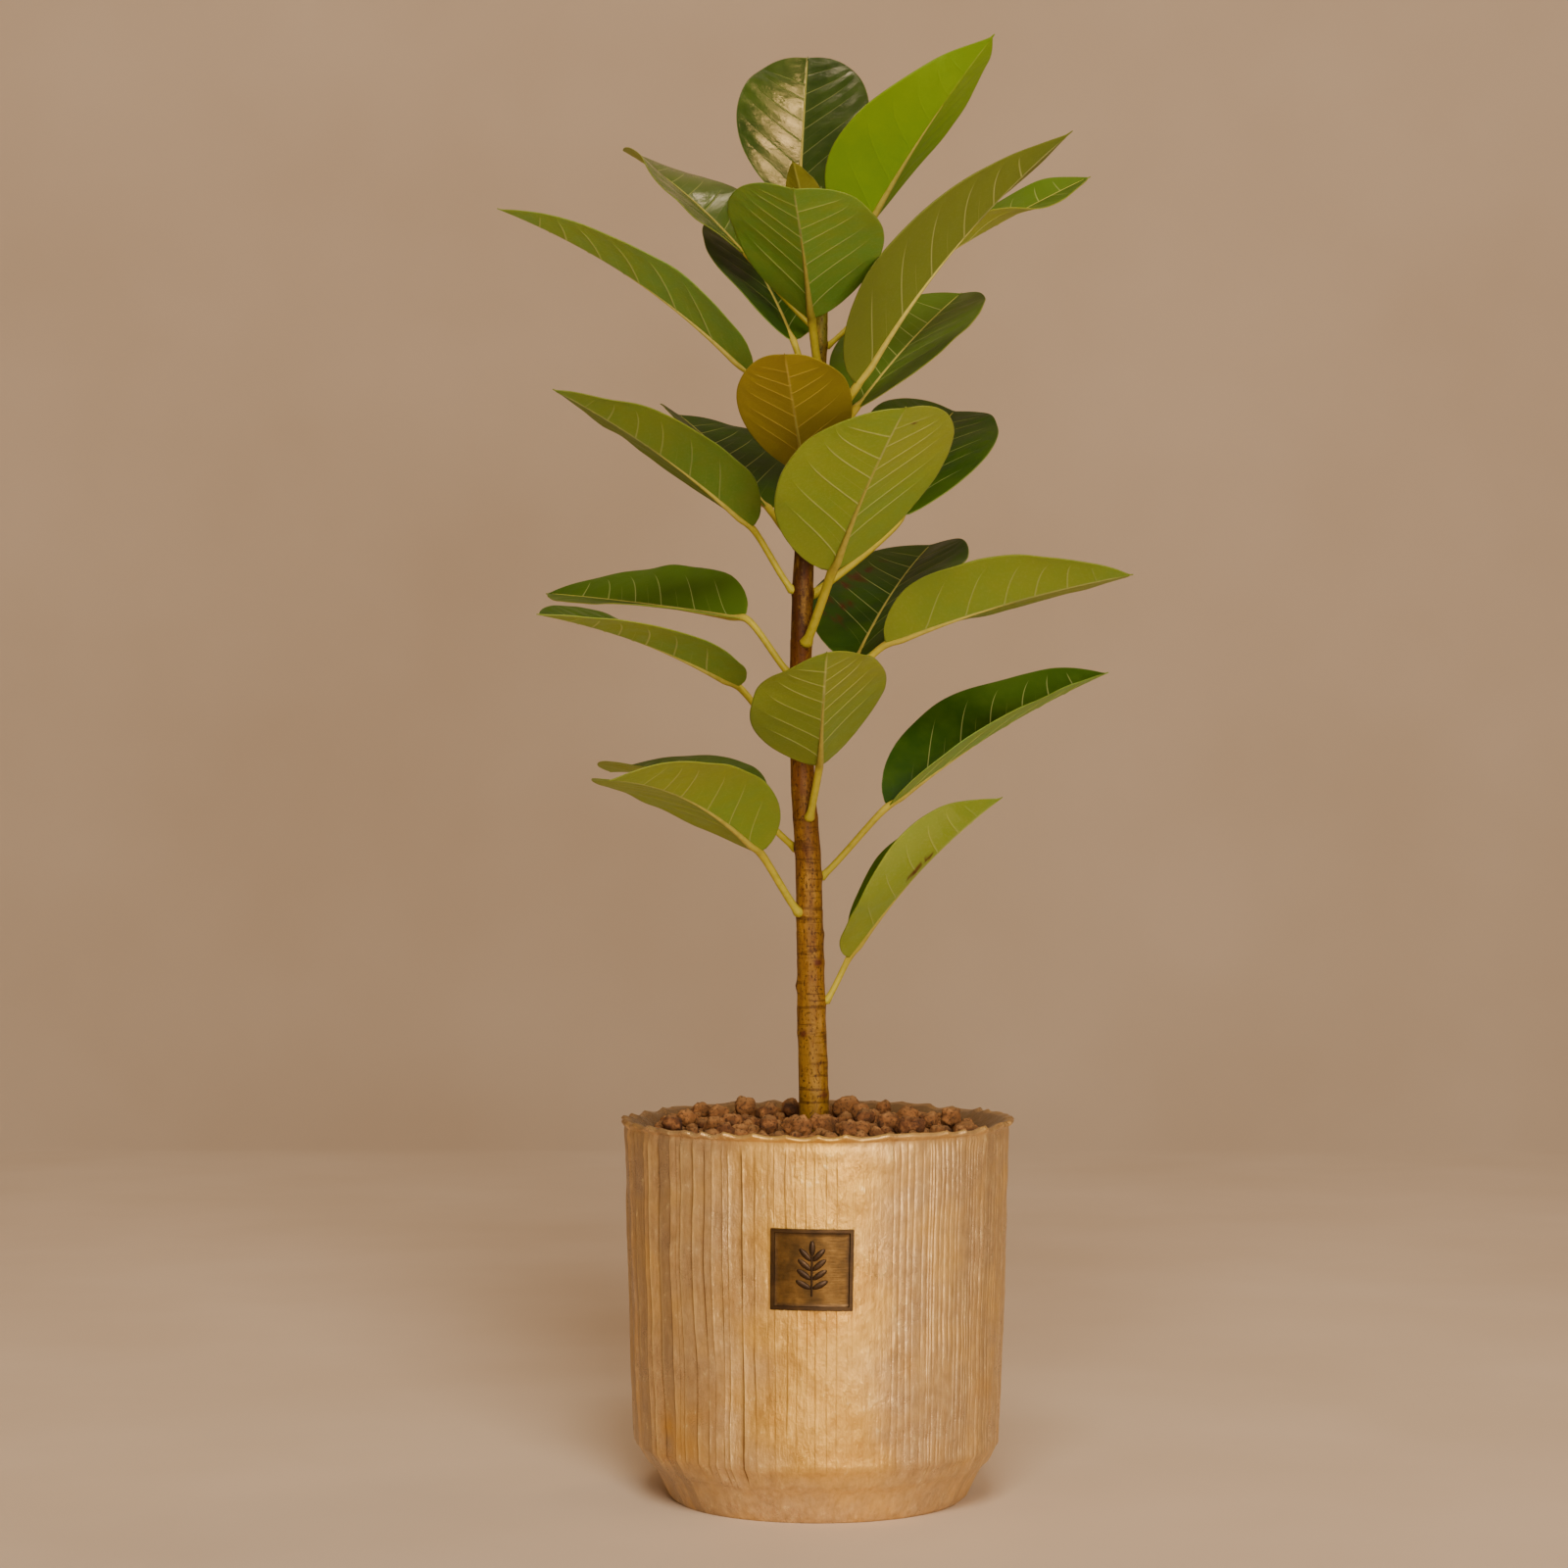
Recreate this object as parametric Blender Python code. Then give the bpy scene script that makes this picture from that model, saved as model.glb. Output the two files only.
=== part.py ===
"""Potted rubber plant: a hand-formed pot, potting mix, clay pebbles, a stem and its leaves.

Metres, +Z up. The origin is the centre of the pot's flat foot, and -Y is the front.
"""

import math

import bmesh
import bpy
from mathutils import Matrix, Vector
from mathutils.bvhtree import BVHTree

# --- Driving dimensions, in metres -----------------------------------------------------

GAP = 0.0003  # between two pieces that touch

POT_HEIGHT = 0.195
POT_RIM_RADIUS = 0.100
POT_RIM_FLARE = 0.0013  # how far the rim stands out from the wall below it
POT_RIM_DEPTH = 0.008
POT_SHOULDER_RADIUS = 0.0934  # top of the band that leads in to the foot
POT_SHOULDER_HEIGHT = 0.029
POT_WAIST_RADIUS = 0.0825
POT_WAIST_HEIGHT = 0.0138
POT_FOOT_RADIUS = 0.0745
POT_FOOT_ROUND = 0.0025
POT_WALL = 0.012
POT_FLOOR = 0.012
POT_SEGMENTS = 60

PLAQUE_SIDE = 0.040
PLAQUE_THICKNESS = 0.0022
PLAQUE_MIDDLE_HEIGHT = 0.1286
PLAQUE_SIDEWAYS = -0.0035
PLAQUE_BORDER = 0.0026  # width of the raised frame
PLAQUE_SUNK = 0.0008  # how far the field lies below the frame

STEM_HEIGHT = 0.457  # above the pot's rim
STEM_BASE_DIAMETER = 0.0156
STEM_BURIED = 0.075  # below the pot's rim
STEM_CLEARANCE = 0.0006  # all round, in the mix and in the pebbles
STEM_SIDES = 14

MIX_BELOW_RIM = 0.026
PEBBLE_DIAMETER = 0.0135
PEBBLE_BED_BELOW_RIM = 0.0045  # mean level of the bed's top
PEBBLE_BED_BUMP = 0.0035  # how deep the hollows between the bed's pebbles are
LOOSE_PEBBLES = 26
LOOSE_PEBBLE_GAP = 0.0005
DROP_TEST_FINENESS = 16  # test points along a pebble's diameter when it is laid on the bed

BLADE_THICKNESS = 0.0008
BLADE_WIDTH = 0.074  # of a full-grown leaf, which has the petiole diameter below
MIDRIB_DEPTH = 0.0014  # how far the midrib stands out under the blade
PETIOLE_DIAMETER = 0.0045
PETIOLE_GAP = 0.0005  # from the stem's side to a petiole's cut face
BUD_LENGTH = 0.022

# Share of the stem's height above the rim, sideways place in mm, share of the base diameter.
STEM_PATH = (
    (0.00, -1.5, 1.00),
    (0.11, -3.0, 0.95),
    (0.20, -3.7, 0.91),
    (0.30, -4.8, 0.87),
    (0.37, -7.6, 0.81),
    (0.52, -8.6, 0.73),
    (0.62, -7.1, 0.69),
    (0.78, -1.0, 0.58),
    (0.89, 2.3, 0.42),
    (0.96, 2.5, 0.36),
    (1.00, 2.0, 0.30),
)

# One row a leaf, from the lowest to the highest. Angles are in degrees; a heading is counted
# from +X towards +Y, and a rise from the horizontal. Lengths are in mm on a stem of
# LEAF_TABLE_HEIGHT, and grow and shrink with the stem. Columns: node, as a share of the
# stem's height; the petiole's heading, rise and length; the blade's heading, rise, length
# and width; its arch, as a share of its length; its fold; its roll.
LEAF_TABLE_HEIGHT = 0.457
LEAVES = (
    (0.130, -8, 62, 26, -50, 36, 141, 60, 0.05, 34, 4),
    (0.230, -139, 50, 41, -121, 15, 143, 75, 0.08, 23, 9),
    (0.270, 23, 44, 52, 23, 29, 148, 66, 0.04, 37, 18),
    (0.302, 150, 38, 30, 126, 9, 140, 67, 0.06, 27, -4),
    (0.337, -72, 59, 31, -89, 23, 138, 80, 0.02, 23, 14),
    (0.414, -164, 49, 43, -133, 13, 144, 65, 0.04, 25, -12),
    (0.446, -16, 45, 55, -31, 13, 143, 65, 0.03, 33, -20),
    (0.486, 38, 24, 32, 69, 29, 142, 84, 0.05, 20, -6),
    (0.499, 159, 49, 39, 139, 7, 145, 67, 0.01, 28, -23),
    (0.534, -63, 51, 45, -75, 29, 147, 90, 0.03, 18, 8),
    (0.589, 27, 39, 67, 74, 29, 138, 76, 0.06, 30, 16),
    (0.593, -160, 55, 39, -139, 26, 142, 64, 0.04, 27, 0),
    (0.643, 137, 46, 29, 114, 26, 138, 69, 0.03, 28, 13),
    (0.674, -95, 52, 27, -95, 23, 124, 59, 0.01, 20, 1),
    (0.740, 34, 52, 36, 61, 31, 145, 74, 0.03, 20, 3),
    (0.766, -50, 40, 37, -17, 48, 167, 80, 0.06, 29, -4),
    (0.772, -158, 43, 41, -169, 32, 154, 72, 0.07, 32, -9),
    (0.823, 144, 66, 27, 110, 34, 142, 64, 0.06, 26, 0),
    (0.845, -101, 53, 28, -94, 18, 145, 83, 0.03, 26, -7),
    (0.869, 24, 42, 47, 26, 29, 139, 52, 0.02, 22, -16),
    (0.888, 161, 47, 55, 123, 30, 145, 52, 0.04, 26, 0),
    (0.915, 146, 78, 53, 87, 43, 145, 74, 0.01, 22, 1),
    (0.928, -5, 61, 36, -58, 35, 143, 84, 0.03, 32, 11),
    (0.963, -120, 45, 8, -122, 65, 52, 29, 0.02, 30, 0),
)

BRONZE_LEAF = 14  # still bronze on its under side

# Shape of a blade's outline: how round it starts, how round it ends, and its drip tip.
OUTLINE_START = 0.60
OUTLINE_END = 0.56
OUTLINE_OVAL = 0.975  # share of the length that the oval takes
DRIP_TIP_WIDTH = 0.05
DRIP_TIP_LENGTH = 0.10
CUP = -0.06  # the margins turn down a little
FOLD_LOST = 0.35  # share of the fold that is gone at the tip

PETIOLE_STATIONS = (0.0, 0.30, 0.65)
BLADE_STATIONS = (0.0, 0.03, 0.09, 0.18, 0.30, 0.44, 0.58, 0.72, 0.84, 0.93, 0.98)
ACROSS = (-1.0, -0.5, 0.0, 0.5, 1.0)
UP = Vector((0, 0, 1))


# --- Helpers ---------------------------------------------------------------------------


def clear_scene():
    for obj in list(bpy.data.objects):
        bpy.data.objects.remove(obj, do_unlink=True)


def material(name, colour, roughness, metallic=0.0):
    mat = bpy.data.materials.new(name)
    mat.use_nodes = True
    bsdf = mat.node_tree.nodes["Principled BSDF"]
    bsdf.inputs["Base Color"].default_value = (*colour, 1)
    bsdf.inputs["Roughness"].default_value = roughness
    bsdf.inputs["Metallic"].default_value = metallic
    mat.diffuse_color = (*colour, 1)
    return mat


def solid(name, bm, mat, sharp_angle=40):
    """Makes a bmesh an object of its own, with its faces pointing out."""
    bmesh.ops.recalc_face_normals(bm, faces=bm.faces)
    mesh = bpy.data.meshes.new(name)
    bm.to_mesh(mesh)
    bm.free()
    mesh.materials.append(mat)
    mesh.shade_smooth()
    mesh.set_sharp_from_angle(angle=math.radians(sharp_angle))
    obj = bpy.data.objects.new(name, mesh)
    bpy.context.collection.objects.link(obj)
    return obj


def circle(radius, height, sides, middle=(0.0, 0.0)):
    centre = Vector((*middle, height))
    turn = math.tau / sides
    return [centre + radius * Vector((math.cos(k * turn), math.sin(k * turn), 0)) for k in range(sides)]


def loft(rings):
    """A closed skin through rings of equally many points, with a flat cap on each end."""
    bm = bmesh.new()
    loops = [[bm.verts.new(point) for point in ring] for ring in rings]
    for lower, upper in zip(loops, loops[1:]):
        for k, vert in enumerate(lower):
            after = (k + 1) % len(lower)
            bm.faces.new((vert, lower[after], upper[after], upper[k]))
    bm.faces.new(loops[0])
    bm.faces.new(loops[-1])
    return bm


def between(rows, share):
    """Reads rows of (share, value, value...) at a share, along straight runs."""
    for low, high in zip(rows, rows[1:]):
        if share <= high[0]:
            t = max(0.0, (share - low[0]) / (high[0] - low[0]))
            return [a + (b - a) * t for a, b in zip(low[1:], high[1:])]
    return list(rows[-1][1:])


def bezier(points, t):
    a, b, c, d = points
    s = 1 - t
    return a * s**3 + b * 3 * s * s * t + c * 3 * s * t * t + d * t**3


def bezier_direction(points, t):
    a, b, c, d = points
    s = 1 - t
    return ((b - a) * s * s + (c - b) * 2 * s * t + (d - c) * t * t).normalized()


def direction(heading, rise):
    heading, rise = math.radians(heading), math.radians(rise)
    flat = math.cos(rise)
    return Vector((math.cos(heading) * flat, math.sin(heading) * flat, math.sin(rise)))


# --- Pot and plaque --------------------------------------------------------------------


def pot_outline():
    """The outer side as (height, radius), from the foot to the rim."""
    wall_top = POT_RIM_RADIUS - POT_RIM_FLARE
    return (
        (0.0, POT_FOOT_RADIUS),
        (POT_FOOT_ROUND, POT_FOOT_RADIUS + POT_FOOT_ROUND),
        (POT_WAIST_HEIGHT, POT_WAIST_RADIUS),
        (POT_SHOULDER_HEIGHT, POT_SHOULDER_RADIUS),
        (POT_HEIGHT - POT_RIM_DEPTH, wall_top),
        (POT_HEIGHT - POT_RIM_FLARE, POT_RIM_RADIUS),
        (POT_HEIGHT, POT_RIM_RADIUS - POT_RIM_FLARE),
    )


def pot_radius(height):
    return between(pot_outline(), height)[0]


def inner_radius(height):
    return pot_radius(height) - POT_WALL


def inner_heights(bottom, top):
    """Heights from bottom to top at which the pot's inner side changes its slope."""
    corners = [height for height, _ in pot_outline() if bottom < height < top]
    return [bottom, *corners, top]


def make_pot(mat):
    rings = [circle(radius, height, POT_SEGMENTS) for height, radius in pot_outline()]
    for height in reversed(inner_heights(POT_FLOOR, POT_HEIGHT)):
        rings.append(circle(inner_radius(height), height, POT_SEGMENTS))
    return solid("pot", loft(rings), mat)


def make_plaque(mat):
    """A square plate bent to the wall, its border standing proud of its field."""
    half = PLAQUE_SIDE / 2
    inset = half - PLAQUE_BORDER
    ledge = inset * 0.94
    third = inset * 0.45
    stops = (-half, -inset, -ledge, -third, 0.0, third, ledge, inset, half)

    def point(across, up, depth):
        height = PLAQUE_MIDDLE_HEIGHT + up
        radius = pot_radius(height) / math.cos(math.pi / POT_SEGMENTS) + GAP + depth
        angle = (PLAQUE_SIDEWAYS + across) / pot_radius(PLAQUE_MIDDLE_HEIGHT)
        return Vector((radius * math.sin(angle), -radius * math.cos(angle), height))

    def front(across, up):
        in_field = max(abs(across), abs(up)) < inset
        return point(across, up, PLAQUE_THICKNESS - (PLAQUE_SUNK if in_field else 0))

    def back(across, up):
        return point(across, up, 0)

    bm = bmesh.new()
    for place in (front, back):
        grid = [[bm.verts.new(place(across, up)) for across in stops] for up in stops]
        for low, high in zip(grid, grid[1:]):
            for k in range(len(stops) - 1):
                bm.faces.new((low[k], low[k + 1], high[k + 1], high[k]))
    edges = [edge for edge in bm.edges if edge.is_boundary]
    bmesh.ops.bridge_loops(bm, edges=edges)
    return solid("plaque", bm, mat)


# --- Stem, mix and pebbles -------------------------------------------------------------


def stem_middle(share):
    sideways = between(STEM_PATH, share)[0] / 1000
    return Vector((sideways, 0, POT_HEIGHT + share * STEM_HEIGHT))


def stem_radius(share):
    return between(STEM_PATH, share)[1] * STEM_BASE_DIAMETER / 2


def stem_foot():
    """Middle of the buried end, which stands plumb below the rim."""
    above = stem_middle(0)
    return Vector((above.x, above.y, POT_HEIGHT - STEM_BURIED))


def make_stem(mat):
    foot = stem_foot()
    radius = stem_radius(0)
    rings = [circle(radius, foot.z, STEM_SIDES, foot.xy)]
    steps = 26
    for k in range(steps + 1):
        share = k / steps
        middle = stem_middle(share)
        rings.append(circle(stem_radius(share), middle.z, STEM_SIDES, middle.xy))
    return solid("stem", loft(rings), mat)


def make_bud(mat):
    """The pointed sheath of the next leaf, on the very top of the stem."""
    base = stem_middle(1) + UP * GAP
    radius = stem_radius(1)
    swell = ((0.0, 0.80), (0.15, 1.0), (0.45, 0.86), (0.75, 0.50), (0.93, 0.20), (1.0, 0.06))
    rings = [circle(radius * size, base.z + share * BUD_LENGTH, 12, base.xy) for share, size in swell]
    return solid("terminal_bud", loft(rings), mat)


def make_mix(mat):
    """Fills the pot up to the pebbles, with a blind hole for the stem's buried end."""
    top = POT_HEIGHT - MIX_BELOW_RIM
    foot = stem_foot()
    hole = stem_radius(0) + STEM_CLEARANCE
    side = math.cos(math.pi / POT_SEGMENTS)
    rings = [
        circle(inner_radius(height) - GAP / side, height, POT_SEGMENTS)
        for height in inner_heights(POT_FLOOR + GAP, top)
    ]
    rings.append(circle(hole, top, POT_SEGMENTS, foot.xy))
    rings.append(circle(hole, foot.z - GAP, POT_SEGMENTS, foot.xy))
    return solid("potting_mix", loft(rings), mat)


def bed_height(x, y):
    """Top of the bed: round bumps one pebble apart, on rows set over by half a pebble."""
    row = PEBBLE_DIAMETER * math.sqrt(3) / 2
    crest = 0.0
    for j in range(math.floor(y / row) - 1, math.floor(y / row) + 3):
        shift = 0.5 * (j % 2)
        near = round(x / PEBBLE_DIAMETER - shift)
        for i in (near - 1, near, near + 1):
            away = math.hypot(x - (i + shift) * PEBBLE_DIAMETER, y - j * row)
            crest = max(crest, 1 - (away / (PEBBLE_DIAMETER * 0.62)) ** 2)
    return POT_HEIGHT - PEBBLE_BED_BELOW_RIM + PEBBLE_BED_BUMP * (crest - 0.75)


def make_bed(mat):
    """The bedded pebbles as one ring-shaped body around the stem."""
    bottom = POT_HEIGHT - MIX_BELOW_RIM + GAP
    foot = stem_foot()
    hole = stem_radius(0) + STEM_CLEARANCE
    outer = inner_radius(POT_HEIGHT - PEBBLE_BED_BELOW_RIM - PEBBLE_BED_BUMP) - GAP * 2
    steps = 16
    rings = [circle(hole, bottom, POT_SEGMENTS, foot.xy)]
    rings.append(circle(inner_radius(bottom) - GAP * 2, bottom, POT_SEGMENTS))
    for k in range(steps + 1):
        inward = k / steps
        radius = outer + (hole - outer) * inward
        middle = foot.xy * inward
        ring = circle(radius, 0, POT_SEGMENTS, middle)
        rings.append([Vector((p.x, p.y, bed_height(p.x, p.y))) for p in ring])
    bm = bmesh.new()
    loops = [[bm.verts.new(point) for point in ring] for ring in rings]
    for lower, upper in zip(loops, loops[1:] + loops[:1]):
        for k, vert in enumerate(lower):
            after = (k + 1) % POT_SEGMENTS
            bm.faces.new((vert, lower[after], upper[after], upper[k]))
    bmesh.ops.triangulate(bm, faces=bm.faces)
    return solid("clay_pebble_bed", bm, mat)


def rest_on(bm, below, middle):
    """Lowers a pebble until it lies LOOSE_PEBBLE_GAP above what is below it."""
    pebble = BVHTree.FromBMesh(bm)
    room = []
    step = PEBBLE_DIAMETER / DROP_TEST_FINENESS
    for i in range(-DROP_TEST_FINENESS, DROP_TEST_FINENESS + 1):
        for j in range(-DROP_TEST_FINENESS, DROP_TEST_FINENESS + 1):
            spot = Vector((middle.x + i * step, middle.y + j * step, middle.z))
            ground = below.ray_cast(spot, -UP)[0]
            underside = ground and pebble.ray_cast(ground, UP)[0]
            if underside:
                room.append(underside.z - ground.z)
    bmesh.ops.translate(bm, verts=bm.verts, vec=-UP * (min(room) - LOOSE_PEBBLE_GAP))


def make_loose_pebbles(bed, mat):
    """Pebbles that lie proud on the bed, spread by the golden angle."""
    golden = math.radians(137.5)
    foot = stem_foot()
    nearest = stem_radius(0) + PEBBLE_DIAMETER * 0.8
    furthest = inner_radius(POT_HEIGHT) - PEBBLE_DIAMETER * 0.75
    above = POT_HEIGHT + PEBBLE_DIAMETER * 2
    below = BVHTree.FromObject(bed, bpy.context.evaluated_depsgraph_get())
    for k in range(LOOSE_PEBBLES):
        share = math.sqrt((k + 0.5) / LOOSE_PEBBLES)
        radius = nearest + (furthest - nearest) * share
        angle = k * golden
        place = Vector((foot.x + radius * math.cos(angle), radius * math.sin(angle), above))
        size = PEBBLE_DIAMETER * (0.84 + 0.08 * (k % 4))
        bm = bmesh.new()
        bmesh.ops.create_icosphere(bm, subdivisions=1, radius=size / 2)
        bmesh.ops.scale(bm, verts=bm.verts, vec=(1.0, 0.86, 0.80))
        bmesh.ops.rotate(bm, verts=bm.verts, matrix=Matrix.Rotation(angle * 2.3, 3, "Z"))
        bmesh.ops.translate(bm, verts=bm.verts, vec=place)
        rest_on(bm, below, place)
        solid(f"clay_pebble_{k + 1:02d}", bm, mat, sharp_angle=180)


# --- Leaves ----------------------------------------------------------------------------


def half_width(share):
    """Half the blade's width at a share of its length, as a share of its widest half."""
    fullest = OUTLINE_START / (OUTLINE_START + OUTLINE_END)
    most = fullest**OUTLINE_START * (1 - fullest) ** OUTLINE_END
    along = min(share / OUTLINE_OVAL, 1.0)
    oval = along**OUTLINE_START * (1 - along) ** OUTLINE_END / most
    tip = DRIP_TIP_WIDTH * min((1 - share) / DRIP_TIP_LENGTH, 1.0) ** 0.7
    return max(oval, tip) if share > 0.5 else oval


def crosswise(along, roll=0.0):
    """The sideways and upward directions of a leaf at a point of its midrib."""
    up = (UP - along * along.z).normalized()
    side = along.cross(up)
    turn = math.radians(roll)
    return (
        side * math.cos(turn) - up * math.sin(turn),
        up * math.cos(turn) + side * math.sin(turn),
    )


def round_ring(middle, side, up, radius):
    sides = 2 * len(ACROSS)
    angles = [math.pi * (1 - (k + 0.5) * 2 / sides) for k in range(sides)]
    return [middle + side * radius * math.cos(a) + up * radius * math.sin(a) for a in angles]


def blade_ring(middle, side, up, half, fold, keel, widest):
    """Upper surface from left to right, then the under surface back again."""
    upper = []
    under = []
    for across in ACROSS:
        reach = abs(across) * half
        out = math.copysign(reach * math.cos(fold), across)
        rise = reach * math.sin(fold) + CUP * reach * reach / widest
        thick = BLADE_THICKNESS * (0.5 if abs(across) < 1 else 0.3)
        centre = middle + side * out + up * rise
        upper.append(centre + up * thick)
        under.append(centre - up * (thick + (keel if across == 0 else 0)))
    return upper + under[::-1]


def make_leaf(name, row, mat):
    node, stalk_heading, stalk_rise, stalk_length = row[:4]
    heading, rise, length, width, arch, fold, roll = row[4:]
    scale = STEM_HEIGHT / LEAF_TABLE_HEIGHT / 1000
    stalk_length, length, width = stalk_length * scale, length * scale, width * scale
    radius = PETIOLE_DIAMETER / 2 * width / BLADE_WIDTH

    outward = direction(stalk_heading, 0)
    start = stem_middle(node) + outward * (stem_radius(node) + PETIOLE_GAP)
    base = start + direction(stalk_heading, stalk_rise) * stalk_length
    along = direction(heading, rise)
    lift = (UP - along * along.z).normalized() * arch * length
    third = along * length / 3
    blade = (base, base + third + lift, base + third * 2 + lift, base + third * 3)
    leaving = direction(stalk_heading, stalk_rise * 0.6)
    arriving = bezier_direction(blade, 0)
    stalk = (start, start + leaving * stalk_length * 0.35, base - arriving * stalk_length * 0.35, base)

    rings = []
    for t in PETIOLE_STATIONS:
        line = bezier_direction(stalk, t) if t else outward
        side, up = crosswise(line, roll * t)
        rings.append(round_ring(bezier(stalk, t), side, up, radius))
    for t in BLADE_STATIONS:
        side, up = crosswise(bezier_direction(blade, t), roll)
        if t == 0:
            rings.append(round_ring(bezier(blade, t), side, up, radius))
            continue
        half = half_width(t) * width / 2
        bend = math.radians(fold) * (1 - FOLD_LOST * t)
        keel = MIDRIB_DEPTH * (1 - 0.8 * t) * width / BLADE_WIDTH
        rings.append(blade_ring(bezier(blade, t), side, up, half, bend, keel, width / 2))
    bm = loft(rings)
    bmesh.ops.triangulate(bm, faces=bm.faces)
    return solid(name, bm, mat, sharp_angle=60)


def make_leaves(grown, bronze, young):
    for k, row in enumerate(LEAVES):
        last = k == len(LEAVES) - 1
        name = "young_leaf" if last else f"leaf_{k + 1:02d}"
        mat = young if last else bronze if k == BRONZE_LEAF - 1 else grown
        make_leaf(name, row, mat)


def main():
    clear_scene()
    make_pot(material("glazed_clay", (0.58, 0.40, 0.20), 0.40))
    make_plaque(material("dark_brass", (0.05, 0.026, 0.010), 0.38, metallic=1.0))
    make_mix(material("potting_mix", (0.035, 0.022, 0.014), 0.95))
    pebble_clay = material("fired_clay", (0.22, 0.095, 0.045), 0.85)
    bed = make_bed(pebble_clay)
    make_loose_pebbles(bed, pebble_clay)
    make_stem(material("bark", (0.30, 0.16, 0.06), 0.70))
    make_bud(material("bud_sheath", (0.45, 0.12, 0.05), 0.45))
    make_leaves(
        grown=material("leaf_green", (0.13, 0.19, 0.03), 0.35),
        bronze=material("leaf_bronze", (0.28, 0.13, 0.01), 0.38),
        young=material("leaf_young", (0.36, 0.26, 0.03), 0.38),
    )


main()
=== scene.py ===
"""Looks of the potted rubber plant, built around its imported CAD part.

Metres, +Z up. The origin is the middle of the pot's foot, and -Y is the front.
"""

import math

import bmesh
import bpy
import numpy as np
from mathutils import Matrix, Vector


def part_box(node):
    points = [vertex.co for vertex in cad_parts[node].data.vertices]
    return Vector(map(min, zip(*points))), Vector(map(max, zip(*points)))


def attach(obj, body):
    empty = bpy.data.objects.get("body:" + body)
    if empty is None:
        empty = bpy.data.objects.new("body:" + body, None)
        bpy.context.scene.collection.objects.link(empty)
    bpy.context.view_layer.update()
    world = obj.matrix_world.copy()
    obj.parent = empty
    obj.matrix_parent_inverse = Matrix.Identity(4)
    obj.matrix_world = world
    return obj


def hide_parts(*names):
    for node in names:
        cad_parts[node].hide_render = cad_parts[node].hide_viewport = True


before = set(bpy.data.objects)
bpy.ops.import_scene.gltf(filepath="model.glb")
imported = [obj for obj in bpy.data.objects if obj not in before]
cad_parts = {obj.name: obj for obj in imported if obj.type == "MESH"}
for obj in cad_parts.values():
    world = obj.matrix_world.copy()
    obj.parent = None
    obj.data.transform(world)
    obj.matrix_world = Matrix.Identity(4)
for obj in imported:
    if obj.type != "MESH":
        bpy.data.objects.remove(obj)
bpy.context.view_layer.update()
MM = 0.001
UP = np.array((0.0, 0.0, 1.0))

# --- Sizes the CAD part was built from, in metres ----------------------------------------

POT_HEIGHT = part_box("pot")[1].z
POT_RIM_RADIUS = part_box("pot")[1].x
POT_RIM_FLARE = 0.0013
LIP_DEPTH = 0.0045  # of the pinched lip, which is slimmer than the plain rim of the CAD part
POT_WALL = 0.012
POT_FLOOR = 0.012
# Height and radius of the pot's outer side, from the foot up to the rim.
POT_OUTLINE = (
    (0.0, 0.0745),
    (0.0025, 0.0770),
    (0.0138, 0.0825),
    (0.0290, 0.0934),
    (POT_HEIGHT - LIP_DEPTH, POT_RIM_RADIUS - POT_RIM_FLARE),
    (POT_HEIGHT - POT_RIM_FLARE, POT_RIM_RADIUS),
    (POT_HEIGHT, POT_RIM_RADIUS - POT_RIM_FLARE),
)
PLAQUE_SIDE = 0.040
PLAQUE_THICKNESS = 0.0022
PLAQUE_MIDDLE_HEIGHT = 0.1286
PLAQUE_SIDEWAYS = -0.0035
PLAQUE_BORDER = 0.0018
STEM_HEIGHT = 0.457
STEM_BASE_DIAMETER = 0.0156
STEM_BURIED = 0.075
LOOSE_PEBBLES = 26
BLADE_WIDTH = 0.074
PETIOLE_DIAMETER = 0.0045
PETIOLE_GAP = 0.0005

# Share of the stem's height above the rim, sideways place in mm, share of the base diameter.
STEM_PATH = (
    (0.00, -1.5, 1.00),
    (0.11, -3.0, 0.95),
    (0.20, -3.7, 0.91),
    (0.30, -4.8, 0.87),
    (0.37, -7.6, 0.81),
    (0.52, -8.6, 0.73),
    (0.62, -7.1, 0.69),
    (0.78, -1.0, 0.58),
    (0.89, 2.3, 0.42),
    (0.96, 2.5, 0.36),
    (1.00, 2.0, 0.30),
)

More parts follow.
